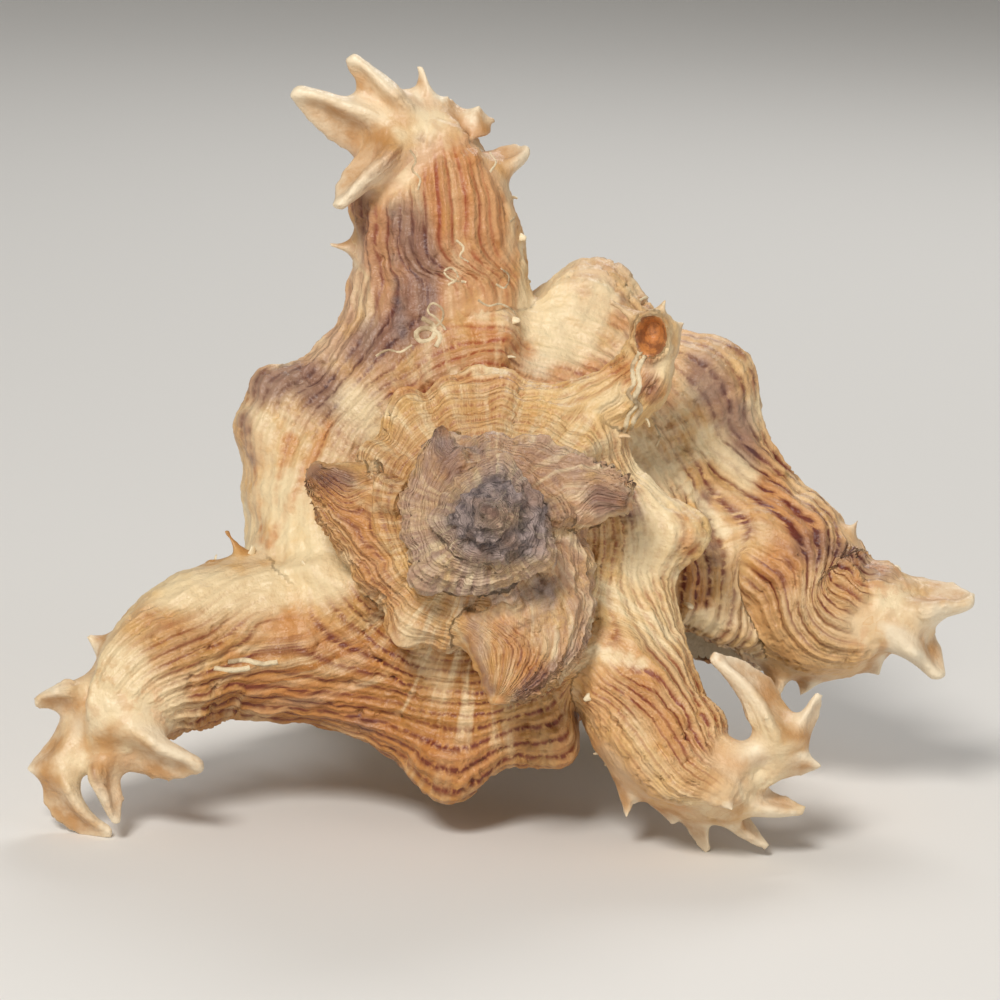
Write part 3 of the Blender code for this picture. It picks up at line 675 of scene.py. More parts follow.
def settled(source, name):
    """The object's shape with its modifiers applied, as a plain mesh."""
    bpy.context.view_layer.update()
    graph = bpy.context.evaluated_depsgraph_get()
    shaped = source.evaluated_get(graph)
    data = bpy.data.meshes.new_from_object(shaped, preserve_all_data_layers=True, depsgraph=graph)
    data.name = name
    return data


skin = form_object("skin", forms)
grown = skin.modifiers.new("grown_together", "REMESH")
grown.mode = "VOXEL"
grown.voxel_size = SKIN_VOXEL * MM
skin.data = settled(skin, "skin")
skin.modifiers.clear()


def surface_of(shape):
    bpy.context.view_layer.update()
    return BVHTree.FromObject(shape, bpy.context.evaluated_depsgraph_get())


def seen_at(surface, across, down):
    """The point of the surface that the camera sees at this pixel of its square frame, and its normal."""
    middle = FRAME_PIXELS / 2
    ray = Vector(((across - middle) / PIXELS_PER_RADIAN, (middle - down) / PIXELS_PER_RADIAN, -1.0))
    ray = (camera.matrix_world.to_3x3() @ ray).normalized()
    place, normal, _, _ = surface.ray_cast(camera.matrix_world.translation, ray)
    return place, normal


POCKET_KIND = 3.52


def pocket_form(surface, pixel, deep, wide, high, lean):
    """A rounded hollow eaten into the surface. It counts as the front of a frond, so it takes the gutters'
    painted tan shade, and its inside is painted dark brown as shade.
    """
    place, normal = seen_at(surface, *pixel)
    middle = np.array(shell_place.inverted() @ place) / MM
    inwards = -np.array(shell_place.inverted().to_3x3() @ normal)
    along = np.linspace(-1.0, 1.0, 15)
    centres = middle + inwards * (along * deep)[:, None]
    size = np.sqrt(np.maximum(1.0 - along**2, 0.004))
    turned = polar(1.0, lean, 0.0)
    pocket = oval_form(centres, np.column_stack([size * wide, size * high]), np.tile(turned, (15, 1)), 0.0, POCKET_KIND, -425.0, 24)
    full = np.ones(pocket["points"].shape[:2])
    return {**pocket, "front": full, "tip": full * 0.3, "out": full * 0.5}


# hollows in the fronds: pixel, depth, half width, half height in mm and the bearing of the width
POCKETS = [
    ((650, 337), 5.0, 2.7, 3.5, 0.0),
]
grown_surface = surface_of(skin)
pockets = [pocket_form(grown_surface, *pocket) for pocket in POCKETS]
cutters = [form_object("chamber", [chamber]), form_object("canal_slit", [slit])]
cutters += [form_object("pocket", [pocket]) for pocket in pockets]
for cutter in cutters:
    cut = skin.modifiers.new(f"{cutter.name}_cut", "BOOLEAN")
    cut.object = cutter
    cut.solver = "MANIFOLD"
    skin.data = settled(skin, "skin")
    skin.modifiers.clear()
pattern = form_object("pattern", [*forms, chamber, slit, *pockets])


# Relief on the skin: round spiral cords with finer ones between them, swollen on the arms, growth lines
# across them, pits, and a chalky, eaten surface at the apex. The porcelain parts stay smooth.
class Wire:
    """A number carried by a node tree's socket. Sums and products with it add Math nodes."""

    def __init__(self, socket):
        self.socket = socket
        self.tree = socket.id_data

    def worked(self, operation, *others):
        made = self.tree.nodes.new("ShaderNodeMath")
        made.operation = operation
        for slot, value in zip(made.inputs, (self, *others)):
            plug(value, slot)
        return Wire(made.outputs[0])

    def __add__(self, other):
        return self.worked("ADD", other)

    def __sub__(self, other):
        return self.worked("SUBTRACT", other)

    def __mul__(self, other):
        return self.worked("MULTIPLY", other)

    def __truediv__(self, other):
        return self.worked("DIVIDE", other)

    def __pow__(self, other):
        return self.worked("POWER", other)

    def least(self, other):
        return self.worked("MINIMUM", other)

    def most(self, other):
        return self.worked("MAXIMUM", other)

    def flipped(self):
        """One minus this."""
        return self * -1.0 + 1.0

    def wave(self, length):
        """1 at every whole length, 0 between them."""
        return (self / length * (2 * math.pi)).worked("COSINE") * 0.5 + 0.5

    def rise(self, start, end):
        """0 up to start, 1 from end, with a smooth step between them. end may be the lower one."""
        made = self.tree.nodes.new("ShaderNodeMapRange")
        made.interpolation_type = "SMOOTHSTEP"
        flip = end < start
        plug(self, made.inputs["Value"])
        plug(min(start, end), made.inputs["From Min"])
        plug(max(start, end), made.inputs["From Max"])
        plug(1.0 if flip else 0.0, made.inputs["To Min"])
        plug(0.0 if flip else 1.0, made.inputs["To Max"])
        return Wire(made.outputs["Result"])


def plug(value, slot):
    if isinstance(value, Wire):
        value.tree.links.new(value.socket, slot)
    else:
        slot.default_value = value


def add_node(tree, kind, settings=(), **inputs):
    """Adds a node with these settings; inputs are values or wires, by socket name with _ for a space."""
    made = tree.nodes.new(kind)
    for name, value in dict(settings).items():
        setattr(made, name, value)
    for name, value in inputs.items():
        plug(value, made.inputs[name.replace("_", " ")])
    return made


def vector_of(tree, x, y, z):
    return Wire(add_node(tree, "ShaderNodeCombineXYZ", X=x, Y=y, Z=z).outputs[0])


def noise(tree, place, size, detail=2.0, roughness=0.5):
    """Noise from 0 to 1 about as coarse as size, in the unit of the place."""
    made = add_node(tree, "ShaderNodeTexNoise", Vector=place, Scale=size**-1.0, Detail=detail)
    made.inputs["Roughness"].default_value = roughness
    return Wire(made.outputs["Fac"])


def carried_value(tree, name):
    made = add_node(tree, "GeometryNodeInputNamedAttribute", Name=name)
    return Wire(made.outputs["Attribute"])


def tree_with_inputs(name, numbers):
    """An empty geometry tree that takes a mesh and these numbers."""
    tree = bpy.data.node_groups.new(name, "GeometryNodeTree")
    tree.interface.new_socket("Geometry", in_out="INPUT", socket_type="NodeSocketGeometry")
    tree.interface.new_socket("Geometry", in_out="OUTPUT", socket_type="NodeSocketGeometry")
    for title, value in numbers.items():
        kind = "NodeSocketObject" if isinstance(value, bpy.types.Object) else "NodeSocketFloat"
        tree.interface.new_socket(title, in_out="INPUT", socket_type=kind)
    return tree, tree.nodes.new("NodeGroupInput"), tree.nodes.new("NodeGroupOutput")


def use_tree(shape, tree, numbers):
    """Runs the tree on the object and keeps the result as its plain mesh."""
    modifier = shape.modifiers.new(tree.name, "NODES")
    modifier.node_group = tree
    for item in tree.interface.items_tree:
        if item.in_out == "INPUT" and item.name in numbers:
            modifier[item.identifier] = numbers[item.name]
    shape.data = settled(shape, shape.name)
    shape.modifiers.clear()


CARRY = {"Pattern": pattern}
tree, given, result = tree_with_inputs("what_the_skin_carries", CARRY)
source = add_node(tree, "GeometryNodeObjectInfo", Object=Wire(given.outputs["Pattern"]))
flow = Wire(given.outputs["Geometry"])
for key in CARRIED:
    nearest = add_node(
        tree, "GeometryNodeSampleNearestSurface",
        Mesh=Wire(source.outputs["Geometry"]), Value=carried_value(tree, key),
    )
    kept = add_node(
        tree, "GeometryNodeStoreNamedAttribute", Geometry=flow, Name=key, Value=Wire(nearest.outputs["Value"]),
    )
    flow = Wire(kept.outputs[0])
plug(flow, result.inputs[0])
use_tree(skin, tree, CARRY)



def blurred(tree, value, steps):
    made = add_node(tree, "GeometryNodeBlurAttribute", Value=value, Iterations=steps)
    return Wire(made.outputs["Value"])


# where two forms meet, the skin is smoothed into a web between them
WEBS = {"Widening": 34.0, "Smoothing": 44.0}
tree, given, result = tree_with_inputs("webs", WEBS)
kind, part = carried_value(tree, "kind"), carried_value(tree, "part")
edge = (blurred(tree, part, 3) - part).worked("ABSOLUTE").rise(0.004, 0.05)
near_hollow = blurred(tree, kind.rise(3.2, 3.8), 14).rise(0.0, 0.1)
seam = (blurred(tree, edge, Wire(given.outputs["Widening"])) * 4.0).least(1.0) * near_hollow.flipped()
smoother = add_node(tree, "GeometryNodeBlurAttribute", {"data_type": "FLOAT_VECTOR"})
plug(Wire(tree.nodes.new("GeometryNodeInputPosition").outputs[0]), smoother.inputs["Value"])
plug(Wire(given.outputs["Smoothing"]), smoother.inputs["Iterations"])
plug((seam * 0.9).most(0.05), smoother.inputs["Weight"])
flow = Wire(given.outputs["Geometry"])
softened = {key: blurred(tree, carried_value(tree, key), 12) for key in ("tip", "front", "out")}
for key, value in {"seam": seam, **softened}.items():
    marked = add_node(tree, "GeometryNodeStoreNamedAttribute", Geometry=flow, Name=key, Value=value)
    flow = Wire(marked.outputs[0])
moved = add_node(tree, "GeometryNodeSetPosition", Geometry=flow)
plug(Wire(smoother.outputs["Value"]), moved.inputs["Position"])
plug(Wire(moved.outputs[0]), result.inputs[0])
use_tree(skin, tree, WEBS)


# Where the shell is stained, bare or worn: soft streaks laid along the skin. A few of the orange and purple
# streaks are painted shade instead of stains: under the lip, under the white knob and in the pocket.
# For each: pixels of its path in the camera's frame, half its width in mm, strength
STAINS_AND_PAINTED_SHADE = {
    "purple": [
        ([(262, 385), (300, 372), (328, 398)], 5.0, 1.0), ([(243, 420), (252, 455)], 3.0, 0.8),
        ([(368, 345), (410, 320), (425, 270), (405, 225)], 5.5, 0.95), ([(362, 175), (368, 240)], 4.0, 0.7),
        ([(700, 370), (735, 420), (745, 455)], 5.0, 0.9), ([(810, 545), (880, 572)], 5.0, 0.7),
        # the narrow streak from (704, 500) to (713, 560) is painted shade under the white knob, not a stain
        ([(704, 500), (713, 560)], 2.2, 0.8), ([(316, 472), (345, 478)], 3.4, 0.8), ([(350, 478), (385, 475)], 4.0, 0.4), ([(600, 500), (632, 508)], 3.5, 1.0),
        ([(440, 430), (452, 470)], 3.0, 0.8), ([(490, 690), (468, 640)], 1.8, 0.7), ([(518, 694), (585, 640)], 2.0, 0.7),
        ([(480, 425), (550, 425), (590, 450)], 4.5, 0.35), ([(300, 700), (380, 730)], 4.0, 0.5),
        ([(650, 365), (655, 410)], 2.5, 0.6), ([(575, 285), (620, 300)], 1.8, 0.5), ([(488, 510), (493, 514)], 1.2, 0.9),
        ([(470, 600), (480, 650)], 3.0, 0.6), ([(640, 300), (660, 330)], 2.5, 0.4),
        ([(715, 350), (748, 345)], 3.0, 0.5), ([(300, 560), (372, 604)], 2.6, 0.4),
    ],
    "orange": [
        ([(330, 485), (360, 530), (385, 590)], 3.5, 0.8), ([(250, 610), (320, 640), (370, 660)], 5.0, 0.7), ([(270, 695), (340, 700), (400, 740), (470, 765)], 7.0, 0.8),
        ([(770, 490), (805, 530), (780, 570)], 5.0, 1.0), ([(330, 425), (300, 485), (270, 545)], 1.5, 0.9),
        ([(430, 170), (440, 235)], 2.4, 0.8), ([(502, 200), (500, 265)], 2.4, 0.8), ([(480, 330), (528, 350)], 2.4, 0.9),
        ([(470, 165), (466, 225)], 2.0, 0.7), ([(560, 372), (640, 372), (665, 400)], 3.5, 0.8),
        ([(395, 395), (470, 376), (550, 384)], 2.2, 0.8), ([(640, 690), (680, 740), (735, 765)], 5.0, 0.7),
        ([(610, 640), (655, 700)], 4.0, 0.6), ([(700, 600), (690, 560), (682, 520)], 2.6, 0.8),
        # the wide streak from (700, 640) to (760, 680) is painted shadow under the lip, not a stain
        ([(505, 625), (530, 670)], 3.5, 0.8), ([(700, 640), (760, 680)], 6.0, 0.9), ([(570, 285), (632, 330)], 2.0, 0.8),
        # the streak from (650, 325) to (650, 350) is painted shade in the pocket, not a stain
        ([(650, 325), (650, 350)], 3.0, 1.0), ([(355, 520), (372, 590)], 3.0, 0.7), ([(390, 160), (385, 210)], 2.0, 0.6), ([(150, 620), (230, 650)], 2.0, 0.6),
        ([(395, 600), (400, 690)], 4.0, 0.6), ([(420, 760), (540, 770)], 5.0, 0.5), ([(440, 120), (520, 135)], 2.2, 0.7),
        ([(255, 470), (262, 540)], 1.4, 0.8), ([(290, 440), (275, 500)], 1.6, 0.8),
    ],
    "pale": [
        ([(262, 490), (290, 520), (310, 555)], 5.0, 0.7), ([(270, 430), (290, 520)], 4.0, 0.5),
        ([(175, 590), (250, 590), (330, 572)], 6.0, 0.9), ([(110, 690), (150, 725)], 9.0, 1.0), ([(60, 730), (80, 790)], 5.0, 0.8), ([(340, 100), (380, 110)], 4.0, 0.7),
        ([(545, 275), (560, 340)], 7.0, 1.0), ([(600, 300), (580, 340)], 5.0, 0.8), ([(705, 440), (745, 480)], 4.0, 0.8),
        ([(640, 450), (662, 520), (640, 560)], 5.5, 0.9), ([(350, 400), (380, 430)], 5.0, 0.7),
        ([(400, 610), (440, 690)], 3.5, 0.5), ([(595, 650), (640, 665)], 1.8, 0.9), ([(673, 470), (722, 532)], 1.6, 1.0),
        ([(520, 180), (525, 330)], 2.6, 0.8), ([(400, 130), (440, 120)], 4.0, 0.8), ([(756, 700), (775, 790)], 4.0, 0.9),
        ([(890, 600), (930, 600)], 4.0, 0.8), ([(455, 375), (500, 372)], 1.8, 0.8), ([(700, 620), (712, 628)], 2.4, 1.0),
    ],
    "worn": [
        ([(462, 505), (500, 486), (540, 505), (528, 540), (482, 548), (462, 520)], 4.6, 0.95),
        ([(440, 440), (480, 450)], 3.0, 0.6), ([(540, 590), (500, 600)], 4.0, 0.6), ([(422, 138), (430, 145)], 1.4, 0.45),
        ([(392, 215), (400, 330)], 2.0, 0.5),
    ],
}


def column_of(collection, name, width=1):
    values = np.empty(len(collection) * width, np.float32)
    collection.foreach_get(name, values)
    return values.reshape(-1, width) if width > 1 else values


def store(shape, name, values):
    kind = "FLOAT" if values.ndim == 1 else "FLOAT_VECTOR"
    layer = shape.data.attributes.new(name, kind, "POINT")
    layer.data.foreach_set("value" if values.ndim == 1 else "vector", values.astype(np.float32).ravel())


def along_pixels(path, step=9.0):
    """Pixels a few apart along a path of pixels."""
    rows = np.array(path, float)
    return evenly(rows, max(2, int(length_along(rows)[-1] / step)))


def stain_and_shade_mask(surface, points, stain_and_shade_paths):
    mask = np.zeros(len(points))
    for path, wide, strength in stain_and_shade_paths:
        for across, down in along_pixels(path):
            place, _ = seen_at(surface, across, down)
            if place is not None:
                away = np.linalg.norm(points - np.array(place), axis=1) / (wide * MM)
                mask = np.maximum(mask, strength * np.exp(-(away**2)))
    return mask


# the stretch behind the upper arm was polished by the mantle, so its cords are faint
POLISHED = (-240.0, -212.0, -185.0, -158.0)
bare_surface = surface_of(skin)
bare_points = column_of(skin.data.vertices, "co", 3)
for name, stain_and_shade_paths in STAINS_AND_PAINTED_SHADE.items():
    store(skin, name, stain_and_shade_mask(bare_surface, bare_points, stain_and_shade_paths))
growth, out, pale = (column_of(skin.data.attributes[key].data, "value") for key in ("growth", "out", "pale"))
polished = np.interp(growth, POLISHED, [0.0, 1.0, 1.0, 0.0]) * (1.0 - np.clip(out * 4.0, 0.0, 1.0))
store(skin, "smooth", np.maximum(polished, pale * 0.7))

RELIEF = {
    "Cord Spacing": 4.8, "Cord Height": 0.8, "Fine Cord Height": 0.36, "Wander": 1.0,
    "Lump Size": 5.0, "Lump Height": 2.6, "Pit Size": 1.6, "Pit Depth": 1.0,
    "Crumb Size": 3.4, "Crumb Height": 3.2, "Chalk Height": 5.0, "Wrinkle Height": 0.12,
}
tree, given, result = tree_with_inputs("spiral_relief", RELIEF)
number = {title: Wire(given.outputs[title]) for title in RELIEF}
place = Wire(add_node(tree, "ShaderNodeVectorMath", {"operation": "SCALE"}).outputs[0])
plug(Wire(tree.nodes.new("GeometryNodeInputPosition").outputs[0]), place.socket.node.inputs[0])
place.socket.node.inputs["Scale"].default_value = 1.0 / MM
line, front, out, growth = (carried_value(tree, key) for key in ("line", "front", "out", "growth"))
kind, tip, seam = (carried_value(tree, key) for key in ("kind", "tip", "seam"))
line = line + (noise(tree, place, 9.0) - 0.5) * number["Wander"]
spacing = number["Cord Spacing"]
cords = (line.wave(spacing) ** 1.5) * number["Cord Height"]
cords = cords + line.wave(spacing * 0.5) * number["Fine Cord Height"]
outside = kind.rise(3.6, 3.2)
bald = carried_value(tree, "smooth")
smooth_end = tip.rise(0.7, 0.2) * seam.flipped() * out.rise(0.995, 0.93)
uneven = noise(tree, place, 16.0).rise(0.3, 0.7) * 0.6 + 0.5
ribbed = outside * (bald * 0.8).flipped() * (front * 0.95).flipped() * (out * 0.7 + 0.8) * smooth_end * uneven
wrinkles = growth.wave(2.3) * number["Wrinkle Height"] * growth.rise(-480.0, -300.0)
lumps = (noise(tree, place, number["Lump Size"], 3.0) - 0.5) * number["Lump Height"]
pitted = noise(tree, place, 14.0).rise(0.45, 0.6)
pits = noise(tree, place, number["Pit Size"], 1.0).rise(0.42, 0.28) * number["Pit Depth"] * pitted * bald.flipped()
worn = carried_value(tree, "worn")
grown = growth.rise(-640.0, -500.0).flipped() * 0.3
frayed = out.rise(0.78, 0.95) * tip.rise(0.5, 0.1) * growth.rise(-500.0, -400.0) * 0.38
crumbly = worn.most(grown).most(frayed) * outside
scattered = vector_of(tree, noise(tree, place, 4.0), noise(tree, place, 5.0), noise(tree, place, 6.0))
bent = add_node(tree, "ShaderNodeVectorMath", {"operation": "MULTIPLY_ADD"})
plug(scattered, bent.inputs[0])
bent.inputs[1].default_value = (9.0, 9.0, 9.0)
plug(place, bent.inputs[2])
cells = add_node(
    tree, "ShaderNodeTexVoronoi", {"feature": "SMOOTH_F1"},
    Vector=Wire(bent.outputs[0]), Scale=number["Crumb Size"] ** -1.0, Smoothness=0.25,
)
crumbs = (Wire(cells.outputs["Distance"]) * -1.0 + 0.5) * number["Crumb Height"]
chalk = (crumbs + (noise(tree, place, 1.8, 4.0, 0.6) - 0.5) * number["Chalk Height"] * 0.6) * crumbly
eaten = (cords + wrinkles) * ribbed * (worn * 0.9).flipped()
height = (eaten + (lumps - pits) * outside * smooth_end.most(0.25) + chalk) * MM
lifted = add_node(tree, "ShaderNodeVectorMath", {"operation": "SCALE"}, Scale=height)
plug(Wire(tree.nodes.new("GeometryNodeInputNormal").outputs[0]), lifted.inputs[0])
moved = add_node(tree, "GeometryNodeSetPosition", Geometry=Wire(given.outputs["Geometry"]))
plug(Wire(lifted.outputs[0]), moved.inputs["Offset"])
plug(Wire(moved.outputs[0]), result.inputs[0])
use_tree(skin, tree, RELIEF)


# Colour of the shell: cream ground with orange-brown and purple-brown lines on the threads, paler after
# each varix and darker before it, white porcelain at the tips and in the aperture, grey at the worn apex,
# with painted tan shade in the gutters of the fronds and painted dark shade in the pocket, under the lip
# and under the white knob.
def seen(red, green, blue):
    """A colour as it looks on a screen, from 0 to 255, as the light that it reflects."""
    share = np.array([red, green, blue]) / 255.0
    return (*np.where(share <= 0.04045, share / 12.92, ((share + 0.055) / 1.055) ** 2.4), 1.0)


CREAM = seen(240, 223, 186)
PORCELAIN = seen(242, 228, 202)
YELLOW = seen(226, 186, 118)
TAN = seen(192, 142, 84)
# PURPLE_STAIN_AND_SHADE and ORANGE_STAIN_AND_SHADE colour real stains, and also painted shade under the white knob,
# under the lip and in the pocket
PURPLE_STAIN_AND_SHADE = seen(150, 112, 100)
PURPLE_LINE = seen(84, 50, 48)
ORANGE_STAIN_AND_SHADE = seen(206, 142, 82)
TAWNY = seen(202, 150, 92)
POCKET_SHADE_BROWN = seen(146, 92, 54)
WORN_GREY = seen(176, 160, 156)
WORN_DARK = seen(92, 84, 90)
WORN_WARM = seen(178, 148, 130)

# ground colour, line colour and how strong the lines are, at growth angles from the spire to the lip
GROUND_BY_GROWTH = [
    (-900, seen(186, 160, 142)), (-742, seen(202, 166, 132)), (-640, seen(210, 166, 108)),
    (-532, seen(210, 170, 122)), (-470, seen(224, 188, 136)), (-414, seen(232, 202, 152)),
    (-350, seen(230, 200, 152)), (-320, seen(222, 180, 130)), (-290, seen(200, 150, 88)),
    (-240, seen(188, 134, 72)), (-205, seen(234, 212, 172)), (-185, seen(236, 216, 178)),
    (-160, seen(220, 190, 158)), (-130, seen(198, 156, 124)), (-100, seen(222, 178, 130)),
    (-92, seen(244, 228, 200)), (-70, seen(236, 204, 164)), (-40, seen(230, 192, 142)),
    (-10, seen(228, 190, 138)), (0, seen(236, 210, 172)),
]
LINE_BY_GROWTH = [
    (-900, seen(104, 76, 76)), (-742, seen(112, 72, 62)), (-640, seen(150, 92, 52)),
    (-532, seen(136, 80, 62)), (-440, seen(168, 100, 60)), (-350, seen(152, 84, 50)),
    (-290, seen(132, 68, 42)), (-230, seen(130, 66, 34)), (-190, seen(190, 120, 62)),
    (-150, seen(112, 70, 62)), (-110, seen(172, 94, 50)), (-70, seen(146, 86, 66)),
    (-40, seen(130, 64, 42)), (0, seen(120, 56, 32)),
]
STRENGTH_BY_GROWTH = [
    (-900, 0.3), (-742, 0.45), (-652, 0.5), (-560, 0.55), (-532, 0.6), (-500, 0.5), (-430, 0.65),
    (-400, 0.5), (-350, 0.85), (-320, 1.0), (-290, 1.0), (-240, 1.0), (-206, 0.2), (-180, 0.15),
    (-155, 0.6), (-120, 0.85), (-100, 0.75), (-94, 0.12), (-75, 0.45), (-55, 0.7), (-35, 1.0), (0, 1.0),
]
RAMP_START = -900.0
DEEPER = 1.18
CORD = 4.8
THREAD = 1.2


def ramp(tree, value, stops):
    """A colour ramp over growth."""
    made = add_node(tree, "ShaderNodeValToRGB", Fac=(value - RAMP_START) / -RAMP_START)
    steps = made.color_ramp.elements
    steps.remove(steps[1])
    for index, (growth, colour) in enumerate(stops):
        at = 1.0 - growth / RAMP_START
        step = steps[index] if index < 1 else steps.new(at)
        step.position = at
        step.color = colour if isinstance(colour, tuple) else (colour, colour, colour, 1.0)
    return Wire(made.outputs["Color"])


def mixed(tree, share, below, above):
    made = tree.nodes.new("ShaderNodeMix")
    made.data_type = "RGBA"
    plug(share, made.inputs[0])
    plug(below, made.inputs[6])
    plug(above, made.inputs[7])
    return Wire(made.outputs[2])


def named(tree, name):
    return Wire(add_node(tree, "ShaderNodeAttribute", {"attribute_name": name}).outputs["Fac"])


shell_finish = bpy.data.materials.new("murex_shell")
shell_finish.use_nodes = True
tree = shell_finish.node_tree
surface = tree.nodes["Principled BSDF"]
place = Wire(add_node(tree, "ShaderNodeVectorMath", {"operation": "SCALE"}, Scale=1.0 / MM).outputs[0])
plug(Wire(tree.nodes.new("ShaderNodeTexCoord").outputs["Object"]), place.socket.node.inputs[0])
line, growth, front = named(tree, "line"), named(tree, "growth"), named(tree, "front")
out, tip, kind = named(tree, "out"), named(tree, "tip"), named(tree, "kind")

seam = named(tree, "seam")
purple, orange, pale, worn = (named(tree, name) for name in STAINS_AND_PAINTED_SHADE)

wandering = line + (noise(tree, place, 9.0) - 0.5) * 1.0 + (noise(tree, place, 2.5) - 0.5) * 0.3
dashes = noise(tree, vector_of(tree, growth * 0.6, wandering / THREAD, 3.0), 1.0, 3.0)
streaks = noise(tree, vector_of(tree, growth * 0.22, wandering * 0.05, 7.0), 1.0, 3.0)
blotches = noise(tree, place, 7.0, 4.0, 0.6)
patches = noise(tree, place, 18.0, 2.0)
threads = wandering.wave(THREAD) ** 2.0
grooves = wandering.wave(CORD * 0.5).flipped() ** 1.7
ground = ramp(tree, growth, GROUND_BY_GROWTH)
ground = mixed(tree, streaks.rise(0.42, 0.66) * 0.75, ground, CREAM)
ground = mixed(tree, blotches.rise(0.48, 0.66) * 0.5, ground, YELLOW)
ground = mixed(tree, patches.rise(0.42, 0.62) * 0.35, ground, TAWNY)
uneven = (blotches - 0.5) * 1.1 + (streaks - 0.5) * 0.7
purple = (purple + uneven * 0.8).rise(0.25, 0.9) * purple.rise(0.0, 0.2)
orange = (orange + uneven * 0.8).rise(0.25, 0.9) * orange.rise(0.0, 0.2)
pale = (pale - uneven * 0.8).rise(0.2, 0.8) * pale.rise(0.0, 0.2)
# the orange and purple masks are real stains, and also painted shade: under the lip, under the white knob and in the
# pocket
ground = mixed(tree, orange * 0.6, ground, ORANGE_STAIN_AND_SHADE)
ground = mixed(tree, purple * 0.75, ground, PURPLE_STAIN_AND_SHADE)
ground = mixed(tree, pale * 0.75, ground, CREAM)
strength = Wire(add_node(tree, "ShaderNodeRGBToBW").outputs[0])
plug(ramp(tree, growth, STRENGTH_BY_GROWTH), strength.socket.node.inputs[0])
strength = strength * (patches.rise(0.35, 0.6) * 0.5 + 0.5) + orange * 0.4 + purple * 0.3
fading = (out + (blotches - 0.5) * 0.3).rise(0.92, 1.05)
strength = strength * (pale * 0.75).flipped() * seam.flipped() * (fading * 0.85).flipped() * (front * 0.9).flipped()
lined = (grooves * 0.95 + threads * 0.3) * dashes.rise(0.32, 0.55) * strength * (streaks.rise(0.7, 0.35) * 0.5 + 0.5)
line_colour = mixed(tree, purple * 0.8, ramp(tree, growth, LINE_BY_GROWTH), PURPLE_LINE)
colour = mixed(tree, lined.least(1.0), ground, line_colour)

frayed = out + (blotches - 0.5) * 0.35
pale_tip = (tip.rise(0.1, 0.65) * 0.95 + frayed.rise(0.95, 1.1) * 0.3 + seam * 0.25) * growth.rise(-460.0, -400.0)
pale_tip = pale_tip.least(1.0) * (blotches.rise(0.5, 0.68) * 0.5).flipped()
mottled = (out.rise(0.7, 0.95) + seam * 0.5).least(1.0) * tip.rise(0.7, 0.3) * noise(tree, place, 3.2, 4.0, 0.6).rise(0.46, 0.6)
colour = mixed(tree, mottled * 0.4, colour, mixed(tree, patches.rise(0.45, 0.55), TAN, ORANGE_STAIN_AND_SHADE))
colour = mixed(tree, pale_tip, colour, PORCELAIN)
# gutters: the concave fronts of the fronds are painted tan, as shade in the hollow
gutter = front * tip.rise(0.0, 0.15) * tip.rise(1.0, 0.65)
colour = mixed(tree, gutter * (blotches.rise(0.35, 0.6) * 0.5 + 0.3), colour, TAN)

worn = (worn + (blotches - 0.5) * 1.4).rise(0.2, 0.95) * worn.rise(0.02, 0.15)
crumbs = noise(tree, place, 2.2, 5.0, 0.65)
chalky = mixed(tree, crumbs.rise(0.36, 0.62), WORN_DARK, WORN_GREY)
chalky = mixed(tree, noise(tree, place, 5.0, 2.0).rise(0.45, 0.65) * 0.6, chalky, WORN_WARM)
early = growth.rise(-560.0, -700.0) * (crumbs.rise(0.4, 0.6) * 0.4 + 0.1) * out.rise(0.5, 0.1)
colour = mixed(tree, early, colour, WORN_WARM)
colour = mixed(tree, worn * 0.9, colour, chalky)
inside = kind.rise(3.4, 3.8)
colour = mixed(tree, inside, colour, PORCELAIN)
# the pocket's inside is painted dark brown, as shade in the hollow
pocket = kind.rise(3.2, 3.5) * kind.rise(3.9, 3.6)
colour = mixed(tree, pocket * 0.9, colour, mixed(tree, crumbs.rise(0.4, 0.6), POCKET_SHADE_BROWN, ORANGE_STAIN_AND_SHADE))
deeper = add_node(tree, "ShaderNodeGamma", Color=colour, Gamma=DEEPER)
plug(Wire(deeper.outputs["Color"]), surface.inputs["Base Color"])

roughness = (noise(tree, place, 3.0, 3.0) * 0.25 + 0.32 + worn * 0.3) * (inside * 0.4).flipped()
plug(roughness, surface.inputs["Roughness"])
bare = inside.flipped() * (named(tree, "smooth") * 0.85).flipped() * (front * 0.95).flipped()
bare = bare * tip.rise(0.7, 0.2) * seam.flipped() * out.rise(0.995, 0.93)
relief = (
    wandering.wave(THREAD) * 0.12 * bare
    + wandering.wave(CORD * 0.5) * 0.1 * bare
    + growth.wave(1.3) * 0.03 * bare
    + noise(tree, place, 0.8, 3.0) * 0.2
    + noise(tree, place, 2.6, 4.0, 0.6) * 1.1 * (worn + bare * 0.5 + 0.15).least(1.0)
)
bump = add_node(tree, "ShaderNodeBump", Height=relief, Distance=MM)
plug(Wire(bump.outputs["Normal"]), surface.inputs["Normal"])

# The skin is cut into pieces of a size that can be kept whole. They share their edges and normals, so
# that no seam shows.
PIECES = {
    "spire": (-9999.0, -414.0), "whorl_after_right_arm": (-414.0, -235.0),
    "whorl_after_left_arm": (-235.0, -99.0), "last_whorl": (-99.0, 9999.0), "canal": (-9999.0, 9999.0),
}
CANAL_KIND = 3.0
TIPS_KEPT_IN = 0.05


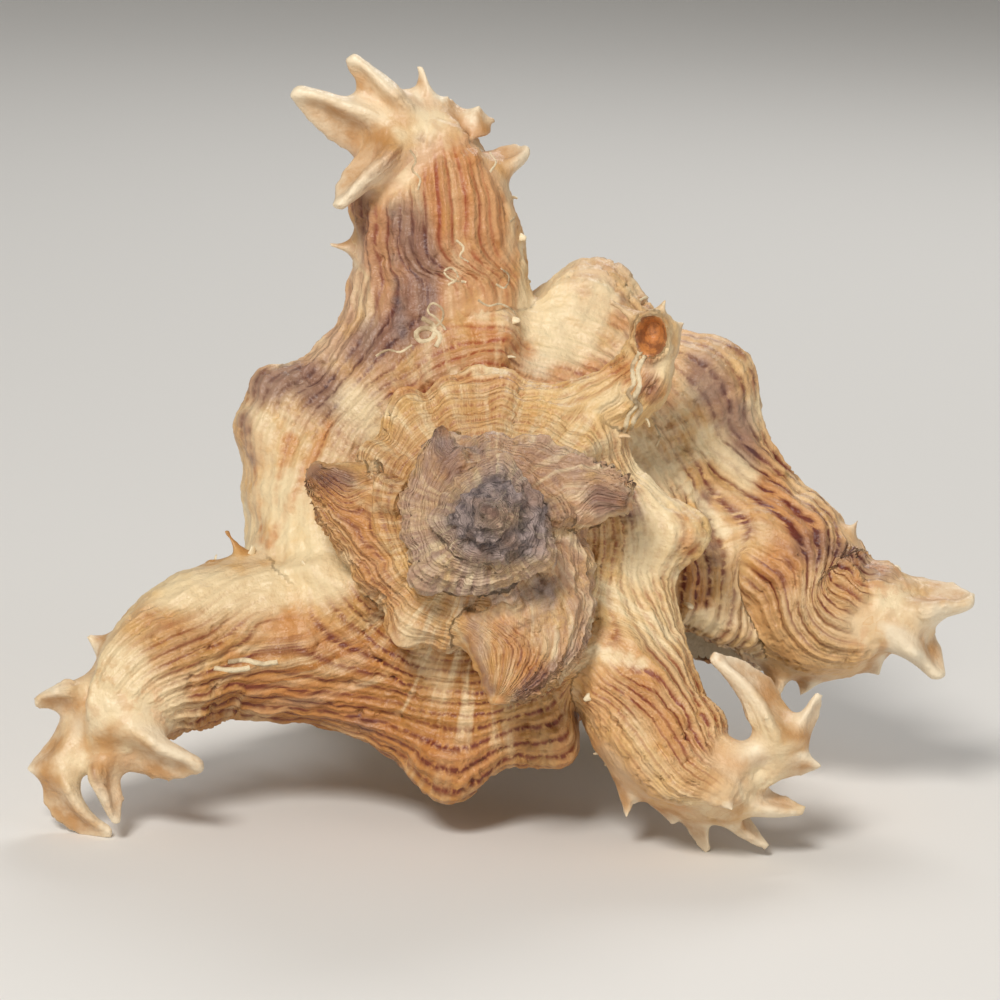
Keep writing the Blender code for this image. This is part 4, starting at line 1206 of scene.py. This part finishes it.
def skin_piece(name, chosen, points, normals, faces, values):
    """The chosen faces of the skin as an object of its own."""
    kept = [face for face, take in zip(faces, chosen) if take]
    used = np.unique(np.concatenate([np.array(face) for face in kept]))
    index = np.full(len(points), -1)
    index[used] = np.arange(len(used))
    data = bpy.data.meshes.new(name)
    data.from_pydata(points[used].tolist(), [], [[int(index[i]) for i in face] for face in kept])
    for key, column in values.items():
        layer = data.attributes.new(key, "FLOAT", "POINT")
        layer.data.foreach_set("value", column[used].astype(np.float32))
    data.shade_smooth()
    data.normals_split_custom_set_from_vertices(normals[used].tolist())
    data.materials.append(shell_finish)
    made = bpy.data.objects.new(name, data)
    bpy.context.scene.collection.objects.link(made)
    return made


skin_points = column_of(skin.data.vertices, "co", 3)
low, high = np.array(cad_low) + TIPS_KEPT_IN * MM, np.array(cad_high) - TIPS_KEPT_IN * MM
skin_points = np.clip(skin_points, low, high)
skin_normals = column_of(skin.data.vertices, "normal", 3)
skin_faces = [tuple(face.vertices) for face in skin.data.polygons]
SHOWN = ["line", "growth", "out", "front", "tip", "kind", "seam", "smooth", *STAINS_AND_PAINTED_SHADE]
skin_values = {key: column_of(skin.data.attributes[key].data, "value") for key in SHOWN}
face_growth = np.array([skin_values["growth"][face[0]] for face in skin_faces])
on_canal = np.array([abs(skin_values["kind"][face[0]] - CANAL_KIND) < 0.5 for face in skin_faces])
for name, (start, end) in PIECES.items():
    chosen = (face_growth >= start) & (face_growth < end) & (on_canal == (name == "canal"))
    piece = skin_piece(name, chosen, skin_points, skin_normals, skin_faces, skin_values)
    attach(piece, "root")
    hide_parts("shell")


def finished_piece(shape, name):
    """A plain object from what a tree made, which rides with the shell."""
    made = bpy.data.objects.new(name, settled(shape, name))
    bpy.context.scene.collection.objects.link(made)
    made.data.shade_smooth()
    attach(made, "root")
    return made


# Small leafy scales: little hollow leaves of porcelain that the mantle left on the cords along each
# varix, each standing up from the skin with its open side forward.
SCALES = {"Spacing": 0.0028, "Most": 90000.0, "Smallest": 0.35, "Largest": 0.8}
SCALE_LENGTH = 2.6
SCALE_BREADTH = 1.25
SCALE_BAND = 3.2
SCALE_BEHIND = 2.5
SCALES_START = -430.0


def scale_leaf():
    t = np.linspace(0.0, 1.0, 6)
    centres = np.column_stack([0.9 * t**2, 0.0 * t, SCALE_LENGTH * t - 0.8])
    size = SCALE_BREADTH * (1.0 - 0.55 * t**2)
    fronts = np.tile(np.array([1.0, 0.0, 0.0]), (6, 1))
    return oval_form(centres, np.column_stack([size * 0.5, size]), fronts, 0.8, 1.0, -5.0, 10)


skin_tree = surface_of(skin)
upright = (column_of(skin.data.vertices, "co", 3) - np.array(shell_place.translation)) / MM
upright = upright @ np.array(shell_place.to_3x3())
store(skin, "way", growth_way(upright) @ np.array(shell_place.to_3x3()).T)
value = {key: column_of(skin.data.attributes[key].data, "value") for key in SHOWN}
band = sum(np.exp(-(((value["growth"] - front + SCALE_BEHIND) / SCALE_BAND) ** 2)) for front in VARICES)
crest = np.cos(value["line"] * 2 * math.pi / CORD) > 0.2
bare = (value["kind"] < 2.5) & (value["growth"] > SCALES_START) & (value["tip"] < 0.3) & (value["worn"] < 0.3) & (value["out"] < 0.9)
store(skin, "scaly", np.where(crest & bare, np.clip(band * 1.2 - 0.2, 0.0, 1.0), 0.0))

scale_finish = bpy.data.materials.new("scale_porcelain")
scale_finish.use_nodes = True
tree = scale_finish.node_tree
surface = tree.nodes["Principled BSDF"]
place = Wire(add_node(tree, "ShaderNodeVectorMath", {"operation": "SCALE"}, Scale=1.0 / MM).outputs[0])
plug(Wire(tree.nodes.new("ShaderNodeTexCoord").outputs["Object"]), place.socket.node.inputs[0])
fine = noise(tree, place, 1.2, 3.0)
plug(mixed(tree, noise(tree, place, 6.0, 3.0).rise(0.45, 0.65) * 0.5, CREAM, TAN), surface.inputs["Base Color"])
plug(fine * 0.3 + 0.3, surface.inputs["Roughness"])
bump = add_node(tree, "ShaderNodeBump", Height=fine * 0.2, Distance=MM)
plug(Wire(bump.outputs["Normal"]), surface.inputs["Normal"])

leaf = form_object("leaf", [scale_leaf()], laid=False)
SCALES["Leaf"] = leaf
tree, given, result = tree_with_inputs("leafy_scales", SCALES)
scattered = add_node(
    tree, "GeometryNodeDistributePointsOnFaces", {"distribute_method": "POISSON"},
    Mesh=Wire(given.outputs["Geometry"]), Distance_Min=Wire(given.outputs["Spacing"]),
    Density_Max=Wire(given.outputs["Most"]), Density_Factor=carried_value(tree, "scaly"), Seed=14,
)
way = add_node(tree, "GeometryNodeInputNamedAttribute", {"data_type": "FLOAT_VECTOR"}, Name="way")
stood = add_node(
    tree, "FunctionNodeAlignRotationToVector", {"axis": "Z"},
    Rotation=Wire(scattered.outputs["Rotation"]), Vector=Wire(scattered.outputs["Normal"]),
)
faced = add_node(
    tree, "FunctionNodeAlignRotationToVector", {"axis": "X", "pivot_axis": "Z"},
    Rotation=Wire(stood.outputs[0]), Vector=Wire(way.outputs["Attribute"]),
)
sizes = add_node(
    tree, "FunctionNodeRandomValue", Min=Wire(given.outputs["Smallest"]), Max=Wire(given.outputs["Largest"]), Seed=3,
)
source = add_node(tree, "GeometryNodeObjectInfo", Object=Wire(given.outputs["Leaf"]))
placed = add_node(
    tree, "GeometryNodeInstanceOnPoints", Points=Wire(scattered.outputs["Points"]),
    Instance=Wire(source.outputs["Geometry"]), Rotation=Wire(faced.outputs[0]), Scale=Wire(sizes.outputs["Value"]),
)
real = add_node(tree, "GeometryNodeRealizeInstances", Geometry=Wire(placed.outputs[0]))
coated = add_node(tree, "GeometryNodeSetMaterial", Geometry=Wire(real.outputs[0]), Material=scale_finish)
plug(Wire(coated.outputs[0]), result.inputs[0])
use_tree(skin, tree, SCALES)
scales = finished_piece(skin, "leafy_scales")


# Worm tubes: thin winding tubes of white chalk, built on the shell by small worms, mostly on the front of
# the upper arm and beside the older frond.
# For each: pixels of its path in the camera's frame
THICK_TUBES = [
    [(640, 352), (632, 368), (634, 384), (628, 394), (637, 404), (629, 414), (624, 432)],
    [(646, 354), (638, 370), (640, 386), (634, 398), (641, 408), (634, 420), (630, 434)],
    [(422, 318), (434, 326), (432, 338), (420, 341), (416, 332), (428, 328), (440, 336), (436, 347)],
    [(228, 662), (245, 660), (262, 664), (278, 662)],
    [(214, 668), (232, 670), (250, 668)],
]
THIN_TUBES = [
    [(430, 330), (441, 322), (443, 310), (432, 303), (428, 312), (436, 318), (446, 330)],
    [(448, 285), (458, 278), (452, 268), (444, 272), (452, 280), (466, 282)],
    [(500, 268), (509, 276), (505, 288), (496, 284)],
    [(478, 300), (488, 306), (500, 304), (512, 310), (520, 322)],
    [(410, 150), (416, 160), (412, 170), (420, 178), (418, 190)],
    [(496, 140), (490, 152), (496, 162), (490, 172)],
    [(520, 190), (512, 200), (518, 212), (510, 222)],
    [(412, 345), (400, 352), (388, 350), (376, 356)],
    [(456, 240), (464, 248), (460, 256), (468, 262)],
    [(640, 300), (650, 296), (660, 300), (668, 312)],
    [(655, 425), (660, 436), (656, 446)],
]


TUBE_SUNK = 0.2
TUBE_GAP = 3.0


def tube_paths(name, paths):
    """The paths as chains of edges that lie on the skin."""
    points, edges = [], []
    for path in paths:
        met = [seen_at(skin_tree, *pixel) for pixel in smooth_path(path, 6)]
        chain = [place - normal * TUBE_SUNK * MM for place, normal in met if place is not None]
        steps = range(len(chain) - 1)
        edges += [(len(points) + i, len(points) + i + 1) for i in steps if (chain[i + 1] - chain[i]).length < TUBE_GAP * MM]
        points += [tuple(place) for place in chain]
    data = bpy.data.meshes.new(name)
    data.from_pydata(points, edges, [])
    made = bpy.data.objects.new(name, data)
    bpy.context.scene.collection.objects.link(made)
    return made


chalk_finish = bpy.data.materials.new("tube_chalk")
chalk_finish.use_nodes = True
tree = chalk_finish.node_tree
surface = tree.nodes["Principled BSDF"]
place = Wire(add_node(tree, "ShaderNodeVectorMath", {"operation": "SCALE"}, Scale=1.0 / MM).outputs[0])
plug(Wire(tree.nodes.new("ShaderNodeTexCoord").outputs["Object"]), place.socket.node.inputs[0])
fine = noise(tree, place, 0.7, 3.0)
grime = noise(tree, place, 3.0, 3.0).rise(0.42, 0.6)
plug(mixed(tree, grime * 0.7, seen(226, 208, 172), seen(150, 120, 84)), surface.inputs["Base Color"])
plug(fine * 0.2 + 0.6, surface.inputs["Roughness"])
bump = add_node(tree, "ShaderNodeBump", Height=fine * 0.3, Distance=MM)
plug(Wire(bump.outputs["Normal"]), surface.inputs["Normal"])

TUBES = {"Tube Radius": 0.0005, "Step": 0.0006}
tree, given, result = tree_with_inputs("worm_tubes", TUBES)
route = add_node(tree, "GeometryNodeMeshToCurve", Mesh=Wire(given.outputs["Geometry"]))
spaced = add_node(
    tree, "GeometryNodeResampleCurve", {"mode": "LENGTH"}, Curve=Wire(route.outputs[0]), Length=Wire(given.outputs["Step"]),
)
ring = add_node(tree, "GeometryNodeCurvePrimitiveCircle", Resolution=8, Radius=Wire(given.outputs["Tube Radius"]))
swept = add_node(
    tree, "GeometryNodeCurveToMesh", Curve=Wire(spaced.outputs[0]), Profile_Curve=Wire(ring.outputs[0]), Fill_Caps=True,
)
real = add_node(tree, "GeometryNodeRealizeInstances", Geometry=Wire(swept.outputs[0]))
coated = add_node(tree, "GeometryNodeSetMaterial", Geometry=Wire(real.outputs[0]), Material=chalk_finish)
plug(Wire(coated.outputs[0]), result.inputs[0])
for name, paths, radius in (("thick_worm_tubes", THICK_TUBES, 0.0005), ("thin_worm_tubes", THIN_TUBES, 0.0003)):
    routes = tube_paths(f"{name}_routes", paths)
    use_tree(routes, tree, {**TUBES, "Tube Radius": radius})
    finished_piece(routes, name)
    bpy.data.objects.remove(routes)
for helper in (skin, pattern, leaf, *cutters):
    bpy.data.objects.remove(helper)


# The floor and the light: a wide pale dish with a rim far out, so that no edge shows, one large soft
# light above the left shoulder of the camera and a weaker one on the right.
FLOOR_FLAT = 1.6
FLOOR_RIM = 3.0
FLOOR_RISE = 1.4


def floor_dish():
    reach = np.concatenate([[0.05], np.linspace(0.4, FLOOR_FLAT, 4), np.linspace(FLOOR_FLAT, FLOOR_RIM, 14)[1:]])
    rise = FLOOR_RISE * smooth_step((reach - FLOOR_FLAT) / (FLOOR_RIM - FLOOR_FLAT))
    mesh = bmesh.new()
    rings = []
    for r, z in zip(reach, rise):
        turns = np.linspace(0.0, 2 * math.pi, 96, endpoint=False)
        rings.append([mesh.verts.new((r * math.cos(t), r * math.sin(t), z)) for t in turns])
    mesh.faces.new(rings[0])
    for a, b in zip(rings, rings[1:]):
        for i in range(96):
            mesh.faces.new((a[i], b[i], b[(i + 1) % 96], a[(i + 1) % 96]))
    data = bpy.data.meshes.new("floor")
    mesh.to_mesh(data)
    mesh.free()
    data.shade_smooth()
    return data


floor = bpy.data.objects.new("floor", floor_dish())
bpy.context.scene.collection.objects.link(floor)
floor_finish = bpy.data.materials.new("pale_floor")
floor_finish.use_nodes = True
floor_surface = floor_finish.node_tree.nodes["Principled BSDF"]
floor_surface.inputs["Base Color"].default_value = seen(232, 230, 226)
floor_surface.inputs["Roughness"].default_value = 0.85
floor.data.materials.append(floor_finish)
floor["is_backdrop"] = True


def soft_light(name, place, size, power, colour):
    data = bpy.data.lights.new(name, "AREA")
    data.shape = "DISK"
    data.size = size
    data.energy = power
    data.color = colour
    lamp = bpy.data.objects.new(name, data)
    lamp.location = place
    aim = Vector((0.0, 0.0, 0.05)) - Vector(place)
    lamp.rotation_euler = aim.to_track_quat("-Z", "Y").to_euler()
    bpy.context.scene.collection.objects.link(lamp)


soft_light("key_light", (-0.35, -0.95, 0.85), 0.35, 12.5, (1.0, 0.97, 0.93))
soft_light("fill_light", (0.9, -0.7, 0.4), 0.8, 2.0, (0.95, 0.97, 1.0))
soft_light("back_light", (0.3, 0.8, 0.9), 0.6, 4.5, (1.0, 1.0, 1.0))
world = bpy.data.worlds.new("studio")
world.use_nodes = True
world.node_tree.nodes["Background"].inputs["Color"].default_value = (0.86, 0.84, 0.81, 1.0)
world.node_tree.nodes["Background"].inputs["Strength"].default_value = 0.24
bpy.context.scene.world = world
bpy.context.scene.view_settings.view_transform = "Standard"

bpy.context.view_layer.update()
seen_low, seen_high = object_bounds()
sizes = {"cad": [list(cad_low), list(cad_high)], "visual": [list(seen_low), list(seen_high)]}
